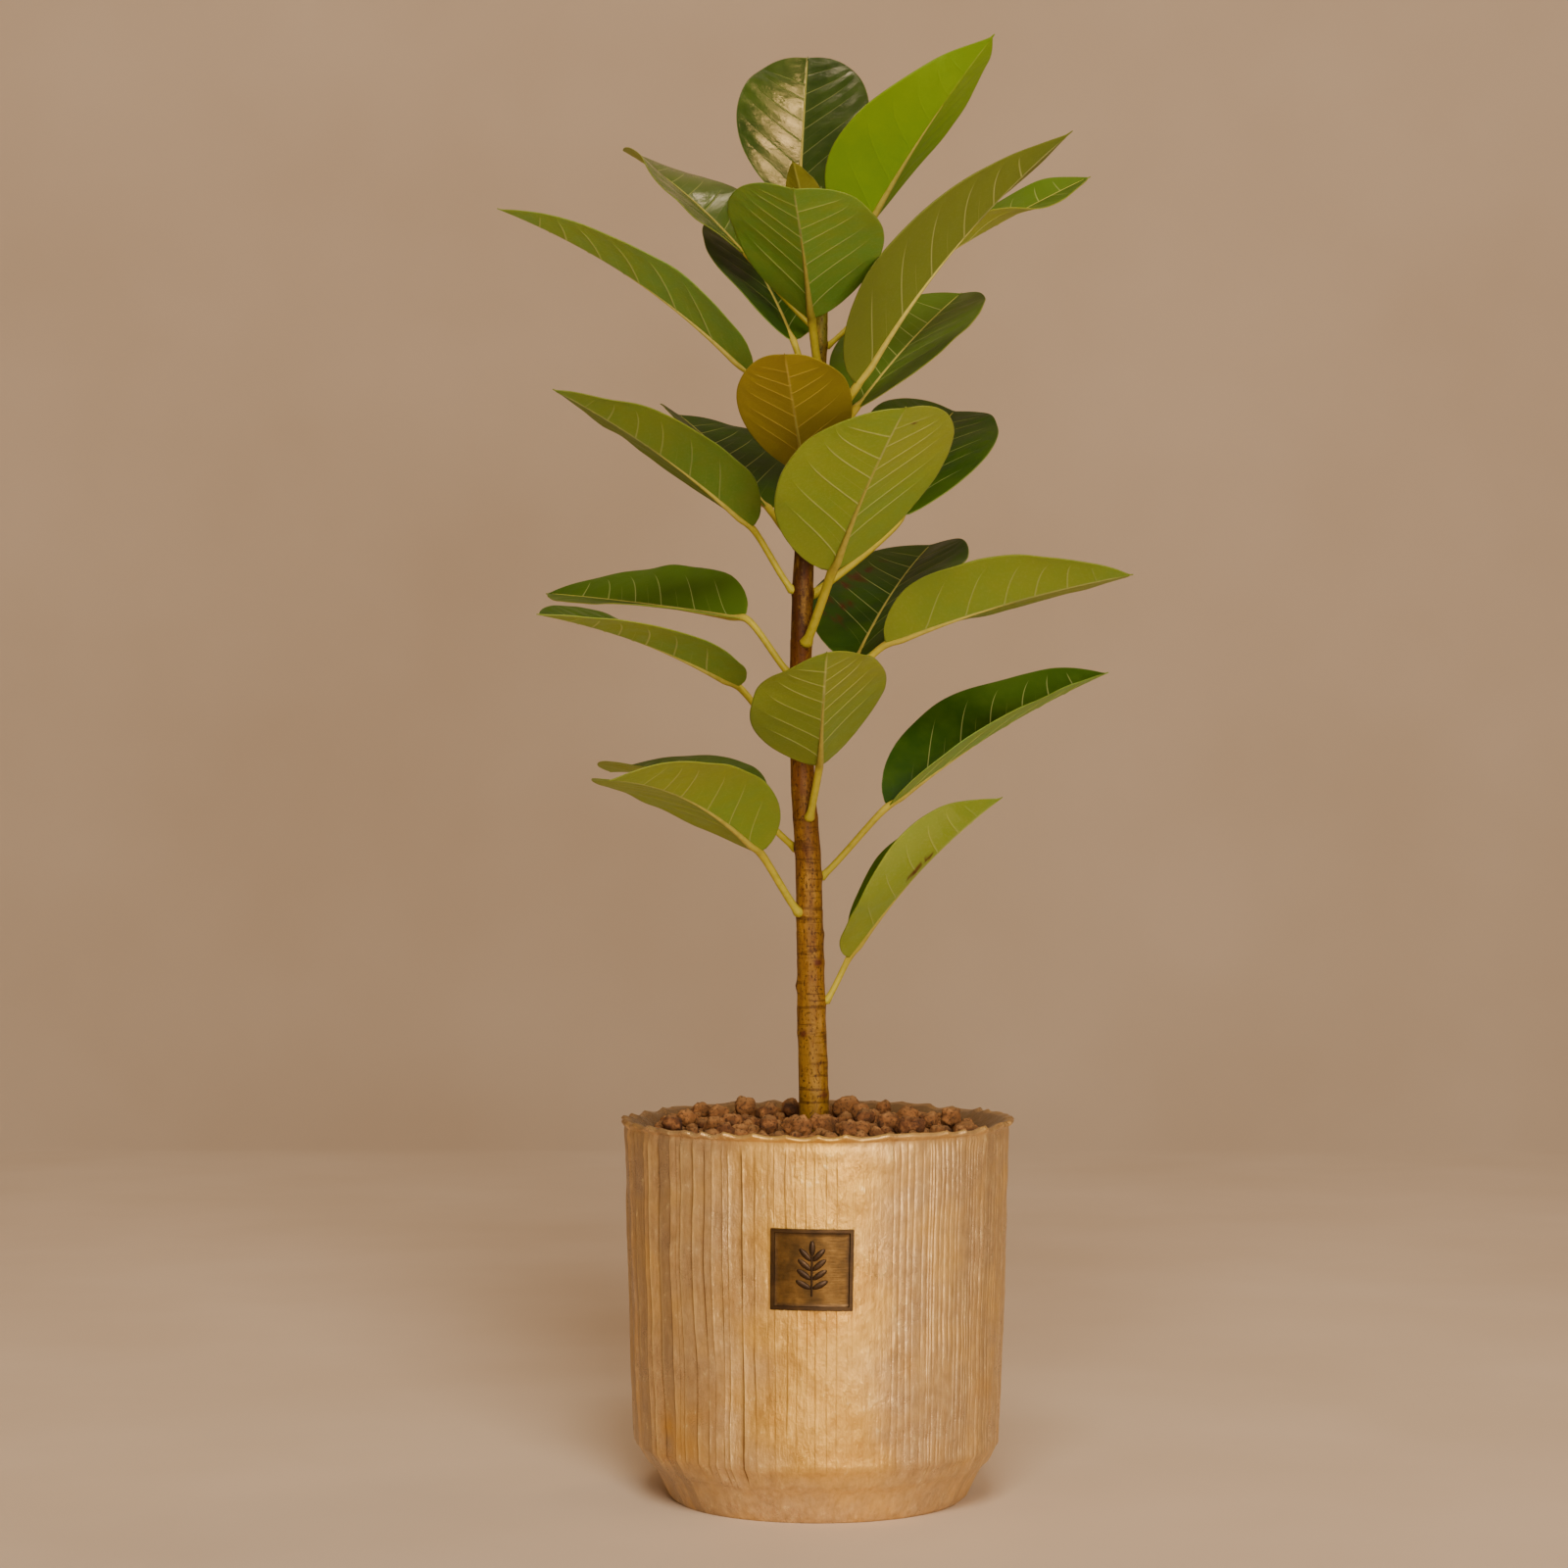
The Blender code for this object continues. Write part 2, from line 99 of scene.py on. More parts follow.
# One row a leaf, from the lowest to the highest, as in the CAD part, but with leaves 1 and 3
# folded more, leaf 1 rolled more, and leaves 5 and 24 a little smaller. Columns: node, as a
# share of the stem's height; the petiole's heading, rise and length; the blade's heading,
# rise, length and width; its arch, as a share of its length; its fold; its roll. Lengths are
# in mm and angles in degrees.
LEAVES = (
    (0.130, -8, 62, 26, -50, 36, 141, 60, 0.05, 46, 47),
    (0.230, -139, 50, 41, -121, 15, 143, 75, 0.08, 23, 9),
    (0.270, 23, 44, 52, 23, 29, 148, 66, 0.04, 45, 15),
    (0.302, 150, 38, 30, 126, 9, 140, 67, 0.06, 27, -4),
    (0.337, -72, 59, 31, -89, 23, 138, 74, 0.02, 23, 14),
    (0.414, -164, 49, 43, -133, 13, 144, 65, 0.04, 25, -12),
    (0.446, -16, 45, 55, -31, 13, 143, 65, 0.03, 33, -20),
    (0.486, 38, 24, 32, 69, 29, 142, 84, 0.05, 20, -6),
    (0.499, 159, 49, 39, 139, 7, 145, 67, 0.01, 28, -23),
    (0.534, -63, 51, 45, -75, 29, 147, 90, 0.03, 18, 8),
    (0.589, 27, 39, 67, 74, 29, 138, 76, 0.06, 30, 16),
    (0.593, -160, 55, 39, -139, 26, 142, 64, 0.04, 27, 0),
    (0.643, 137, 46, 29, 114, 26, 138, 69, 0.03, 28, 13),
    (0.674, -95, 52, 27, -95, 23, 124, 59, 0.01, 20, 1),
    (0.740, 34, 52, 36, 61, 31, 145, 74, 0.03, 20, 3),
    (0.766, -50, 40, 37, -17, 48, 167, 80, 0.06, 29, -4),
    (0.772, -158, 43, 41, -169, 32, 154, 72, 0.07, 32, -9),
    (0.823, 144, 66, 27, 110, 34, 142, 64, 0.06, 26, 0),
    (0.845, -101, 53, 28, -94, 18, 145, 83, 0.03, 26, -7),
    (0.869, 24, 42, 47, 26, 29, 139, 52, 0.02, 22, -16),
    (0.888, 161, 47, 55, 123, 30, 145, 52, 0.04, 26, 0),
    (0.915, 146, 78, 53, 87, 43, 145, 74, 0.01, 22, 1),
    (0.928, -5, 61, 36, -58, 35, 143, 84, 0.03, 32, 11),
    (0.963, -120, 45, 8, -122, 65, 47, 25, 0.02, 30, 0),
)
# Powers that shape a blade's outline: how fast it widens at the stalk and narrows at the end.
OUTLINE_START = 0.60
ROUND_END = 0.56
TAPERED_END = 0.78
POINTED_END = 1.0
OUTLINE_OVAL = 0.985  # share of the length that the oval takes; the drip tip has the rest
DRIP_TIP_WIDTH = 0.03
DRIP_TIP_LENGTH = 0.06
CUP = -0.06  # how far a half blade's margin droops, beside half the blade's width
FOLD_LOST = 0.35  # share of the fold that is gone at the tip

# How far each leaf has gone from deep green towards yellow, from the lowest leaf up.
YELLOWING = (
    0.60, 0.60, 0.05, 0.45, 0.65, 0.45, 0.55, 0.05, 0.60, 0.60, 0.10, 0.30,
    0.05, 0.50, 0.75, 0.80, 0.10, 0.15, 0.00, 0.90, 0.65, 0.10, 0.50, 0.60,
)
ROUND_ENDED = (2, 4, 8, 10, 11, 13, 14, 15, 19, 22)
POINTED = (16, 23)
TWISTS = {1: -45, 20: 38, 21: 14}  # how far the outer part of a blade is turned over, in degrees
# How plain the side veins are; 1 where a leaf isn't named.
VEIN_STRENGTH = {1: 0.6, 2: 0.75, 7: 0.6, 12: 0.65, 16: 0.8, 22: 0.8, 23: 0.35, 24: 0.25}
# Brown spots: share of the length, place across from -1 to 1, and length and width in mm.
SPOTS = {
    1: ((0.50, 0.14, 6.0, 1.6), (0.58, 0.10, 4.0, 1.2)),
    10: ((0.86, -0.22, 1.1, 1.1),),
}
SHADED = {2: 0.12, 5: 0.25, 7: 0.3, 12: 0.5, 16: 0.9, 23: 0.15}  # under sides that are darker
BRONZE_LEAF = 14
LIME_LEAF = 23
POLISHED = (21, 22)
SCORCHED_LEAF = 8  # has brown streaks along its side veins

# --- Small helpers -----------------------------------------------------------------------


def linear(hex_colour):
    """An sRGB hex colour as linear RGBA."""
    parts = [int(hex_colour[k : k + 2], 16) / 255 for k in (1, 3, 5)]
    return (*(c / 12.92 if c <= 0.04045 else ((c + 0.055) / 1.055) ** 2.4 for c in parts), 1.0)


def between(rows, share):
    """Reads rows of (share, value, value...) at an array of shares, along straight runs."""
    rows = np.array(rows, float)
    return [np.interp(share, rows[:, 0], column) for column in rows[:, 1:].T]


def unit(vectors):
    return vectors / np.linalg.norm(vectors, axis=-1, keepdims=True)


def ease(low, high, x):
    """Goes smoothly from 0 at low to 1 at high."""
    t = np.clip((x - low) / (high - low), 0, 1)
    return t * t * (3 - 2 * t)


def drift(x, y, period, seed):
    """Smooth noise from -1 to 1 over x, which comes round again after period, and y."""
    lattice = np.random.default_rng(seed).uniform(-1, 1, (period, 97))
    x, y = np.broadcast_arrays(x, y)
    i, j = np.floor(x).astype(int), np.floor(y).astype(int)
    u, v = x - i, y - j
    u, v = u * u * (3 - 2 * u), v * v * (3 - 2 * v)
    left = lattice[i % period, j % 97] * (1 - v) + lattice[i % period, (j + 1) % 97] * v
    i = i + 1
    right = lattice[i % period, j % 97] * (1 - v) + lattice[i % period, (j + 1) % 97] * v
    return left * (1 - u) + right * u


def deselect():
    if bpy.context.object and bpy.context.object.mode != "OBJECT":
        bpy.ops.object.mode_set(mode="OBJECT")
    bpy.ops.object.select_all(action="DESELECT")


def only(obj):
    """Makes one object the selected and active one."""
    deselect()
    obj.select_set(True)
    bpy.context.view_layer.objects.active = obj


def places(obj):
    """The vertices of a mesh object as an array."""
    flat = np.empty(len(obj.data.vertices) * 3, np.float32)
    obj.data.vertices.foreach_get("co", flat)
    return flat.reshape(-1, 3).astype(float)


def set_places(obj, points):
    obj.data.vertices.foreach_set("co", np.ascontiguousarray(points, np.float32).ravel())
    obj.data.update()


def set_attribute(obj, name, values):
    """Stores one number a vertex, for a material to read."""
    attribute = obj.data.attributes.new(name, "FLOAT", "POINT")
    attribute.data.foreach_set("value", np.ascontiguousarray(values, np.float32).ravel())


def apply_all(obj):
    """Applies the modifiers, then moves the object's place, turn and scale into its mesh."""
    only(obj)
    for modifier in list(obj.modifiers):
        bpy.ops.object.modifier_apply(modifier=modifier.name)
    bpy.ops.object.transform_apply(location=True, rotation=True, scale=True)


def join(objects, name):
    only(objects[0])
    for obj in objects:
        obj.select_set(True)
    if len(objects) > 1:
        bpy.ops.object.join()
    objects[0].name = name
    objects[0].data.name = name
    return objects[0]


def finish_piece(obj, nodes):
    """Hangs a piece under the root body and hides the CAD nodes that it stands for."""
    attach(obj, "root")
    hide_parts(*nodes)


# --- Materials ---------------------------------------------------------------------------


def new_material(name):
    mat = bpy.data.materials.new(name)
    mat.use_nodes = True
    mat.node_tree.nodes.clear()
    return mat


def add(mat, kind, inputs=None, output=0, stops=(), **settings):
    """Adds a node with its settings and gives one of its outputs. Inputs maps a socket to a
    value or to another node's output; stops are a colour ramp's places and colours."""
    node = mat.node_tree.nodes.new(f"ShaderNode{kind}")
    for key, value in settings.items():
        setattr(node, key, value)
    if stops:
        ramp = node.color_ramp.elements
        while len(ramp) < len(stops):
            ramp.new(0.5)
        for element, (position, colour) in zip(ramp, stops):
            element.position = position
            element.color = linear(colour)
    for key, value in (inputs or {}).items():
        if isinstance(value, bpy.types.NodeSocket):
            mat.node_tree.links.new(value, node.inputs[key])
        else:
            node.inputs[key].default_value = value
    return node.outputs[output] if node.outputs else None


def marks(mat, *names):
    """The numbers that a piece's mesh holds at each vertex under these names."""
    return [add(mat, "Attribute", output="Fac", attribute_name=name) for name in names]


def clouded(mat, size, detail=3.0, roughness=0.5, stretch=(1, 1, 1)):
    """A cloudy pattern whose cells are about size metres across, stretched along each axis."""
    place = add(mat, "TexCoord", output="Object")
    place = add(mat, "Mapping", {"Vector": place, "Scale": [1 / s for s in stretch]})
    inputs = {"Vector": place, "Scale": 1 / size, "Detail": detail, "Roughness": roughness}
    return add(mat, "TexNoise", inputs)


def coated(mat, colour, *coats):
    """A colour under coats. Each coat is a guide, the guide's value where the coat starts and
    where it is full, how much it then covers, and the coat's own colour."""
    for guide, start, full, cover, tint in coats:
        share = add(mat, "MapRange", {"Value": guide, "From Min": start, "From Max": full, "To Max": cover})
        under, over = (linear(c) if isinstance(c, str) else c for c in (colour, tint))
        # Sockets 0, 6 and 7 are the factor and the two colours, and output 2 is the mixed colour.
        colour = add(mat, "Mix", {0: share, 6: under, 7: over}, output=2, data_type="RGBA")
    return colour


def close(mat, colour, roughness, bumps, **inputs):
    """Ends a material in its one shader. Bumps are patterns with their depth in metres, each
    on the one before. Other inputs have _ for the spaces in their names."""
    links = {"Base Color": colour, "Roughness": roughness}
    for height, depth in bumps:
        below = {"Normal": links["Normal"]} if "Normal" in links else {}
        links["Normal"] = add(mat, "Bump", {"Height": height, "Distance": depth, "Strength": 1.0, **below})
    links |= {name.replace("_", " "): value for name, value in inputs.items()}
    add(mat, "OutputMaterial", {"Surface": add(mat, "BsdfPrincipled", links)})
    return mat


def lustre_glaze():
    """Hand-carved stoneware under a thin lustre glaze: golden cream with pearly clouds, ochre low
    down. Painted light: a richer gold where the light falls on the front, paler painted
    highlights on the strips' raised edges and the lip's front, and bright painted glints.
    Painted shade: greyer on the sides and the left, dark brown in the creases, where the glaze
    also pooled, and a plain darker grey-brown inside."""
    mat = new_material("lustre_glaze_on_carved_stoneware")
    crease_pool_and_shade, crest_highlight, ochre = marks(mat, "crease_pool_and_shade", "crest_highlight", "ochre")
    lit_front_gold, strip_tone_and_shade, inside_shade = marks(mat, "lit_front_gold", "strip_tone_and_shade", "inside_shade")
    clouds = clouded(mat, 0.030, detail=6, roughness=0.6)
    strokes = clouded(mat, 0.0022, detail=4, stretch=(1, 1, 7))
    flakes = clouded(mat, 0.0050, detail=7, roughness=0.68, stretch=(1, 1, 1.5))
    patches = clouded(mat, 0.050, detail=5, roughness=0.6, stretch=(1, 1, 1.4))
    dull_stops = ((0.30, "#bb9b6e"), (0.50, "#d2af7c"), (0.70, "#e6c68e"))
    gold_stops = ((0.30, "#bb9046"), (0.50, "#d5a54e"), (0.70, "#e8bc5c"))
    dull = add(mat, "ValToRGB", {"Fac": flakes}, stops=dull_stops)
    gold = add(mat, "ValToRGB", {"Fac": flakes}, stops=gold_stops)
    rich = coated(mat, gold, (patches, 0.50, 0.60, 0.45, "#d2963a"))
    colour = coated(
        mat,
        dull,
        # Painted light: the front, where the light falls, is a richer gold.
        (lit_front_gold, 0, 1, 1, rich),
        (clouds, 0.42, 0.66, 0.55, "#f2c468"),
        (strokes, 0.52, 0.36, 0.22, "#a4763a"),
        # Each strip's own colour, with painted shade: greyer on the sides, the left and the foot.
        (strip_tone_and_shade, 0, 1, 0.62, "#8a7660"),
        (ochre, 0, 1, 1, "#c8953e"),
        # Painted highlights on the strips' raised edges and the lip's front.
        (crest_highlight, 0.10, 0.8, 0.24, "#f2d48c"),
        # Painted glints: bright specks of highlight.
        (flakes, 0.62, 0.70, 0.55, "#fbe2a0"),
        # Painted shade: dark brown in the creases, where the glaze also pooled, and on the sides of the lip.
        (crease_pool_and_shade, 0.10, 0.85, 0.88, "#5f3d1e"),
        # Painted shade: the inside is a plain darker grey-brown.
        (inside_shade, 0, 1, 1, "#7d664a"),
    )
    satin = {"Value": clouds, "From Min": 0.35, "From Max": 0.65, "To Min": 0.24, "To Max": 0.44}
    bumps = ((strokes, 0.32 * MM), (flakes, 0.70 * MM))
    return close(mat, colour, add(mat, "MapRange", satin), bumps, Metallic=0.6, Specular_IOR_Level=0.15)


def patinated_brass():
    """Cast brass darkened with a brown patina: bronze on the sunk field, nearly black on the
    frame and on the raised sprig."""
    mat = new_material("patinated_cast_brass")
    (oxide,) = marks(mat, "oxide")
    blotches = clouded(mat, 0.009, detail=5, roughness=0.6)
    brushed = clouded(mat, 0.0010, detail=2, stretch=(6, 1, 1))
    stops = ((0.35, "#4b3616"), (0.55, "#664a20"), (0.72, "#80602e"))
    field = add(mat, "ValToRGB", {"Fac": blotches}, stops=stops)
    colour = coated(mat, field, (oxide, 0, 1, 1, "#241a18"))
    rubbed = {"Value": brushed, "From Min": 0.3, "From Max": 0.7, "To Min": 0.34, "To Max": 0.5}
    return close(mat, colour, add(mat, "MapRange", rubbed), [(brushed, 0.06 * MM)], Metallic=0.75)


def potting_soil():
    """Damp peat and bark fines: nearly black, with paler crumbs."""
    mat = new_material("damp_potting_soil")
    crumbs = clouded(mat, 0.003, detail=5, roughness=0.7)
    stops = ((0.3, "#120b07"), (0.55, "#2d1d12"), (0.75, "#4b3521"))
    colour = add(mat, "ValToRGB", {"Fac": crumbs}, stops=stops)
    return close(mat, colour, 0.95, [(crumbs, 1.2 * MM)])


def expanded_clay():
    """Clay pellets puffed up in a kiln: a matt red-brown crust with burnt spots and open
    pores, painted paler on their tops, where the light falls."""
    mat = new_material("kiln_fired_expanded_clay")
    lit_crown, shade = marks(mat, "lit_crown", "shade")
    burnt = clouded(mat, 0.006, detail=3)
    pores = clouded(mat, 0.0014, detail=3, roughness=0.65)
    stops = ((0.32, "#2c160a"), (0.50, "#5e3618"), (0.70, "#a06c3a"))
    crust = add(mat, "ValToRGB", {"Fac": burnt}, stops=stops)
    toned = coated(mat, crust, (shade, 0, 1, 0.55, "#9a6833"))
    # Painted light: each pebble is paler on its top.
    lit_tops = coated(mat, toned, (lit_crown, 0.3, 1, 0.45, "#ad8350"))
    colour = coated(mat, lit_tops, (pores, 0.48, 0.36, 0.75, "#2a170b"))
    return close(mat, colour, 0.9, [(pores, 0.5 * MM)])


def ficus_bark():
    """Thin smooth bark: golden brown with dense dark pits, ring scars and red-brown knots
    low down, dark in the middle and greenish under the top leaves."""
    mat = new_material("thin_ficus_bark")
    height, scar, knot = marks(mat, "height", "scar", "knot")
    mottle = clouded(mat, 0.009, detail=6, roughness=0.7, stretch=(1, 1, 2.2))
    streaks = clouded(mat, 0.0030, detail=5, roughness=0.65, stretch=(1, 1, 4))
    pits = clouded(mat, 0.0012, detail=3, roughness=0.6, stretch=(1, 1, 1.6))
    rings = clouded(mat, 0.0030, detail=3, roughness=0.6, stretch=(9, 9, 1))
    stops = (
        (0.0, "#7c5c1a"),
        (0.04, "#886422"),
        (0.30, "#7a5220"),
        (0.40, "#5a3410"),
        (0.48, "#744510"),
        (0.56, "#42240b"),
        (0.70, "#442a0c"),
        (0.90, "#64601c"),
    )
    wood = add(mat, "ValToRGB", {"Fac": height}, stops=stops)
    pale = coated(mat, wood, (mottle, 0.48, 0.66, 0.5, "#b0842c"))
    dark = coated(mat, pale, (streaks, 0.50, 0.34, 0.6, "#5c2f10"))
    ringed = coated(mat, dark, (rings, 0.44, 0.38, 1, "#3a1e0a"))
    colour = coated(
        mat,
        dark,
        (height, 0.45, 0.30, 0.55, ringed),
        (pits, 0.45, 0.35, 0.75, "#30180a"),
        (scar, 0.2, 1, 0.7, "#40230e"),
        (knot, 0, 1, 1, "#481a12"),
    )
    bumps = ((streaks, 0.25 * MM), (pits, 0.30 * MM))
    return close(mat, colour, 0.55, bumps, Specular_IOR_Level=0.15)


# Light gets through the thin flesh of a leaf.
LEAF_FLESH = {"Subsurface_Weight": 0.45, "Subsurface_Radius": (1.0, 1.0, 0.35), "Subsurface_Scale": 0.0022}


def leaf_top(name, deep, fresh, vein_colour, rough=(0.38, 0.50), shine=0.1):
    """Upper side of a leathery leaf: a waxy skin over cells a millimetre across, from satin
    to polished, with pale sunken veins and a thin pale margin."""
    mat = new_material(name)
    yellow, vein, edge, scorch = marks(mat, "yellow", "vein", "edge", "scorch")
    mottle = clouded(mat, 0.012, detail=4)
    cells = clouded(mat, 0.0013, detail=2)
    colour = coated(
        mat,
        deep,
        (yellow, 0, 1, 1, fresh),
        (mottle, 0.40, 0.68, 0.16, fresh),
        (vein, 0.25, 0.95, 0.72, vein_colour),
        (edge, 0.3, 1, 0.18, vein_colour),
        (scorch, 0, 1, 1, "#4a2410"),
    )
    gloss = {"Value": mottle, "From Min": 0.35, "From Max": 0.65, "To Min": rough[0], "To Max": rough[1]}
    bumps = ((cells, 0.04 * MM), (mottle, 0.35 * MM))
    wax = {"IOR": 1.33, "Specular_IOR_Level": shine}
    return close(mat, colour, add(mat, "MapRange", gloss), bumps, **wax, **LEAF_FLESH)


def leaf_underside(name, deep, fresh, vein_colour):
    """Under side of the leaf: the same flesh under a matt skin, yellower, with raised
    cream veins and a net of finer ones between them."""
    mat = new_material(name)
    yellow, vein, edge = marks(mat, "yellow", "vein", "edge")
    scorch, shaded = marks(mat, "scorch", "shaded")
    mottle = clouded(mat, 0.010, detail=4)
    net = clouded(mat, 0.0016, detail=3, roughness=0.6)
    colour = coated(
        mat,
        deep,
        (yellow, 0, 1, 1, fresh),
        (mottle, 0.36, 0.70, 0.32, fresh),
        (net, 0.50, 0.66, 0.05, vein_colour),
        (shaded, 0, 1, 0.7, "#424c10"),
        (vein, 0.2, 0.95, 0.46, vein_colour),
        # Painted shade: the margin is darkened against the highlight on its rounded edge.
        (edge, 0.3, 1, 0.35, "#5c5a14"),
        (scorch, 0, 1, 1, "#5b3a12"),
    )
    matt = {"Value": mottle, "From Min": 0.35, "From Max": 0.65, "To Min": 0.52, "To Max": 0.66}
    bumps = [(net, 0.12 * MM)]
    return close(mat, colour, add(mat, "MapRange", matt), bumps, Specular_IOR_Level=0.22, **LEAF_FLESH)


def leaf_stalk():
    """Stalk and midrib: juicy yellow-green skin, paler towards the blade, with faint
    lengthwise ribs."""
    mat = new_material("waxy_leaf_stalk")
    (along,) = marks(mat, "along")
    fibres = clouded(mat, 0.0035, detail=4)
    stops = ((0.0, "#aea02e"), (0.2, "#b6a634"), (0.35, "#baa94a"), (0.6, "#b4aa50"), (1.0, "#a8aa4c"))
    base = add(mat, "ValToRGB", {"Fac": along}, stops=stops)
    colour = coated(mat, base, (fibres, 0.45, 0.7, 0.4, "#8a8428"))
    return close(mat, colour, 0.42, [(fibres, 0.15 * MM)], Specular_IOR_Level=0.15)


def bud_sheath():
    """Rolled stipule round the next leaf: thin, glossy and flushed red-brown."""
    mat = new_material("glossy_bud_sheath")
    flush = clouded(mat, 0.006, detail=3, stretch=(1, 1, 4))
    stops = ((0.35, "#6e7a1c"), (0.55, "#8f5a1c"), (0.72, "#8a2f18"))
    colour = add(mat, "ValToRGB", {"Fac": flush}, stops=stops)
    return close(mat, colour, 0.33, [(flush, 0.2 * MM)])


def matt_paint():
    """Matt painted board under and behind the plant: warm white, faintly uneven."""
    mat = new_material("matt_painted_board")
    roller = clouded(mat, 0.25, detail=3)
    colour = add(mat, "ValToRGB", {"Fac": roller}, stops=((0.3, "#c9b69f"), (0.7, "#d1bfa9")))
    return close(mat, colour, 0.75, ())


# --- Pot ---------------------------------------------------------------------------------

# Rows of the mesh cut into each stretch of the pot's outline, from the foot up.
ROWS_CUT = (2, 4, 9, 62, 7, 1)
INNER_HEIGHTS = (POT_HEIGHT - 9 * MM, 0.150, POT_FLOOR + 8 * MM)
# Mesh columns across one carved strip. The step between two strips lies after the last.
STRIP_COLUMNS = np.array((0.0, 0.05, 0.14, 0.34, 0.60, 0.86, 0.965))
# Typical width of a strip in mm, by the angle round the pot in degrees; 270 is the front.
STRIP_WIDTHS = ((0, 3.4), (60, 4.6), (150, 6.0), (200, 6.8), (250, 6.2), (290, 4.2), (305, 3.3), (360, 3.4))
WIDE_STRIP = 6.5 * MM  # a strip of this width has the full lap
LAP = 1.25 * MM  # how far the raised edge of a wide strip stands over the strip beside it
LIP_BITE = 1.9 * MM  # how deep the scallops of the pinched lip are
LIP_THICKNESS = 5.0 * MM
FOOT_HEIGHT = 18.5 * MM  # of the plain foot, under the wall's uneven ledge
LAPS_FROM_FOOT = 25 * MM  # where the carving starts, on average
LAPS_FROM_RIM = 6 * MM  # where it ends below the rim, on average
FRONT = -math.pi / 2


def outline_radius(height):
    return between(POT_OUTLINE, height)[0]


def strip_edges():
    """Angles at which one carved strip laps over the last, once round the pot."""
    random = np.random.default_rng(4)
    angles = [0.0]
    while angles[-1] < math.tau:
        width = between(STRIP_WIDTHS, math.degrees(angles[-1]))[0] * random.uniform(0.45, 1.55) * MM
        angles.append(angles[-1] + width / POT_RIM_RADIUS)
    return np.array(angles) * math.tau / angles[-1]


def lip_bites(angle):
    """Depth of the pinched lip's scallops, from 0 on the cusps between them to 1."""
    random = np.random.default_rng(18)
    cusps = [0.0]
    while cusps[-1] < math.tau:
        cusps.append(cusps[-1] + random.uniform(7, 24) * MM / POT_RIM_RADIUS)
    cusps = np.array(cusps) * math.tau / cusps[-1]
    bite = np.clip(np.searchsorted(cusps, angle, side="right") - 1, 0, len(cusps) - 2)
    across = (angle - cusps[bite]) / (cusps[bite + 1] - cusps[bite])
    return (1 - (2 * across - 1) ** 2) * random.uniform(0.15, 1.15, len(cusps))[bite]


def strips_at(angle):
    """Which strip each column of points is in, how far across it, its angle when the columns
    are moved to the strips' real edges, and the strip's width."""
    edges = strip_edges()
    count = len(edges) - 1
    column = np.rint(angle / math.tau * count * len(STRIP_COLUMNS)).astype(int)
    column %= count * len(STRIP_COLUMNS)
    strip, place = np.divmod(column, len(STRIP_COLUMNS))
    across = STRIP_COLUMNS[place]
    spread = edges[strip + 1] - edges[strip]
    return strip, across, edges[strip] + across * spread, spread * POT_RIM_RADIUS


def sideways_sway(angle, height):
    """How far the strips stray to the side on their way up; not at all at foot and rim."""
    turn = angle / math.tau
    sway = drift(turn * 40, height / (42 * MM), 40, 5) * 0.95 * MM
    sway += drift(turn * 200, height / (16 * MM), 200, 6) * 0.16 * MM
    sway *= between(STRIP_WIDTHS, np.degrees(angle))[0] * MM / WIDE_STRIP
    below_lip = 1 - ease(POT_HEIGHT - 12 * MM, POT_HEIGHT - 3 * MM, height)
    return sway * ease(10 * MM, 30 * MM, height) * below_lip


def hand_dents(turn, height):
    """Hollows that the hands left in the wall, with lumps near the top."""
    dents = drift(turn * 14, height / (35 * MM), 14, 14) * 0.55 * MM
    dents += drift(turn * 44, height / (11 * MM), 44, 15) * 0.30 * MM
    dents += drift(turn * 130, height / (5 * MM), 130, 20) * 0.12 * MM
    lumps = np.clip(drift(turn * 42, height / (9 * MM), 42, 21) - 0.35, 0, 1) * 1.8 * MM
    return dents + lumps * ease(POT_HEIGHT - 30 * MM, POT_HEIGHT - 10 * MM, height)


def foot_overhang(turn, height):
    """How far the wall stands out over the uneven ledge above the foot."""
    ledge = FOOT_HEIGHT + (1.6 * drift(turn * 22, 0, 22, 16) + 0.8 * drift(turn * 90, 0, 90, 17)) * MM
    over = height - ledge
    return 1.1 * MM * (1 - ease(0, 9 * MM, over)) * ease(-0.5 * MM, 0.5 * MM, over)


def pinched_lip(angle, height):
    """How near the lip each point is, and how far the pinching moves it out and up."""
    near_lip = ease(POT_HEIGHT - 4.5 * MM, POT_HEIGHT - 1.8 * MM, height)
    bite = lip_bites(angle)
    uneven = drift(angle / math.tau * 120, 0.5, 120, 23) * 0.55 * MM
    out = near_lip * (1.2 * MM * (1 - bite) ** 2 - 0.5 * MM * bite + uneven)
    return near_lip, out, -near_lip * (LIP_BITE * bite - uneven)


def ochre_patches(turn, height, near_lip):
    """Where the glaze broke to ochre: in patches low on the wall, and a little at the lip."""
    ochre = ease(-0.15, 0.7, drift(turn * 13, height / (34 * MM), 13, 19))
    ochre = ochre * (0.45 + 0.55 * drift(turn * 60, height / (9 * MM), 60, 22))
    low = (1 - ease(40 * MM, 85 * MM, height)) * ease(20 * MM, 32 * MM, height)
    return ochre * (0.06 + 0.94 * low) + 0.15 * near_lip


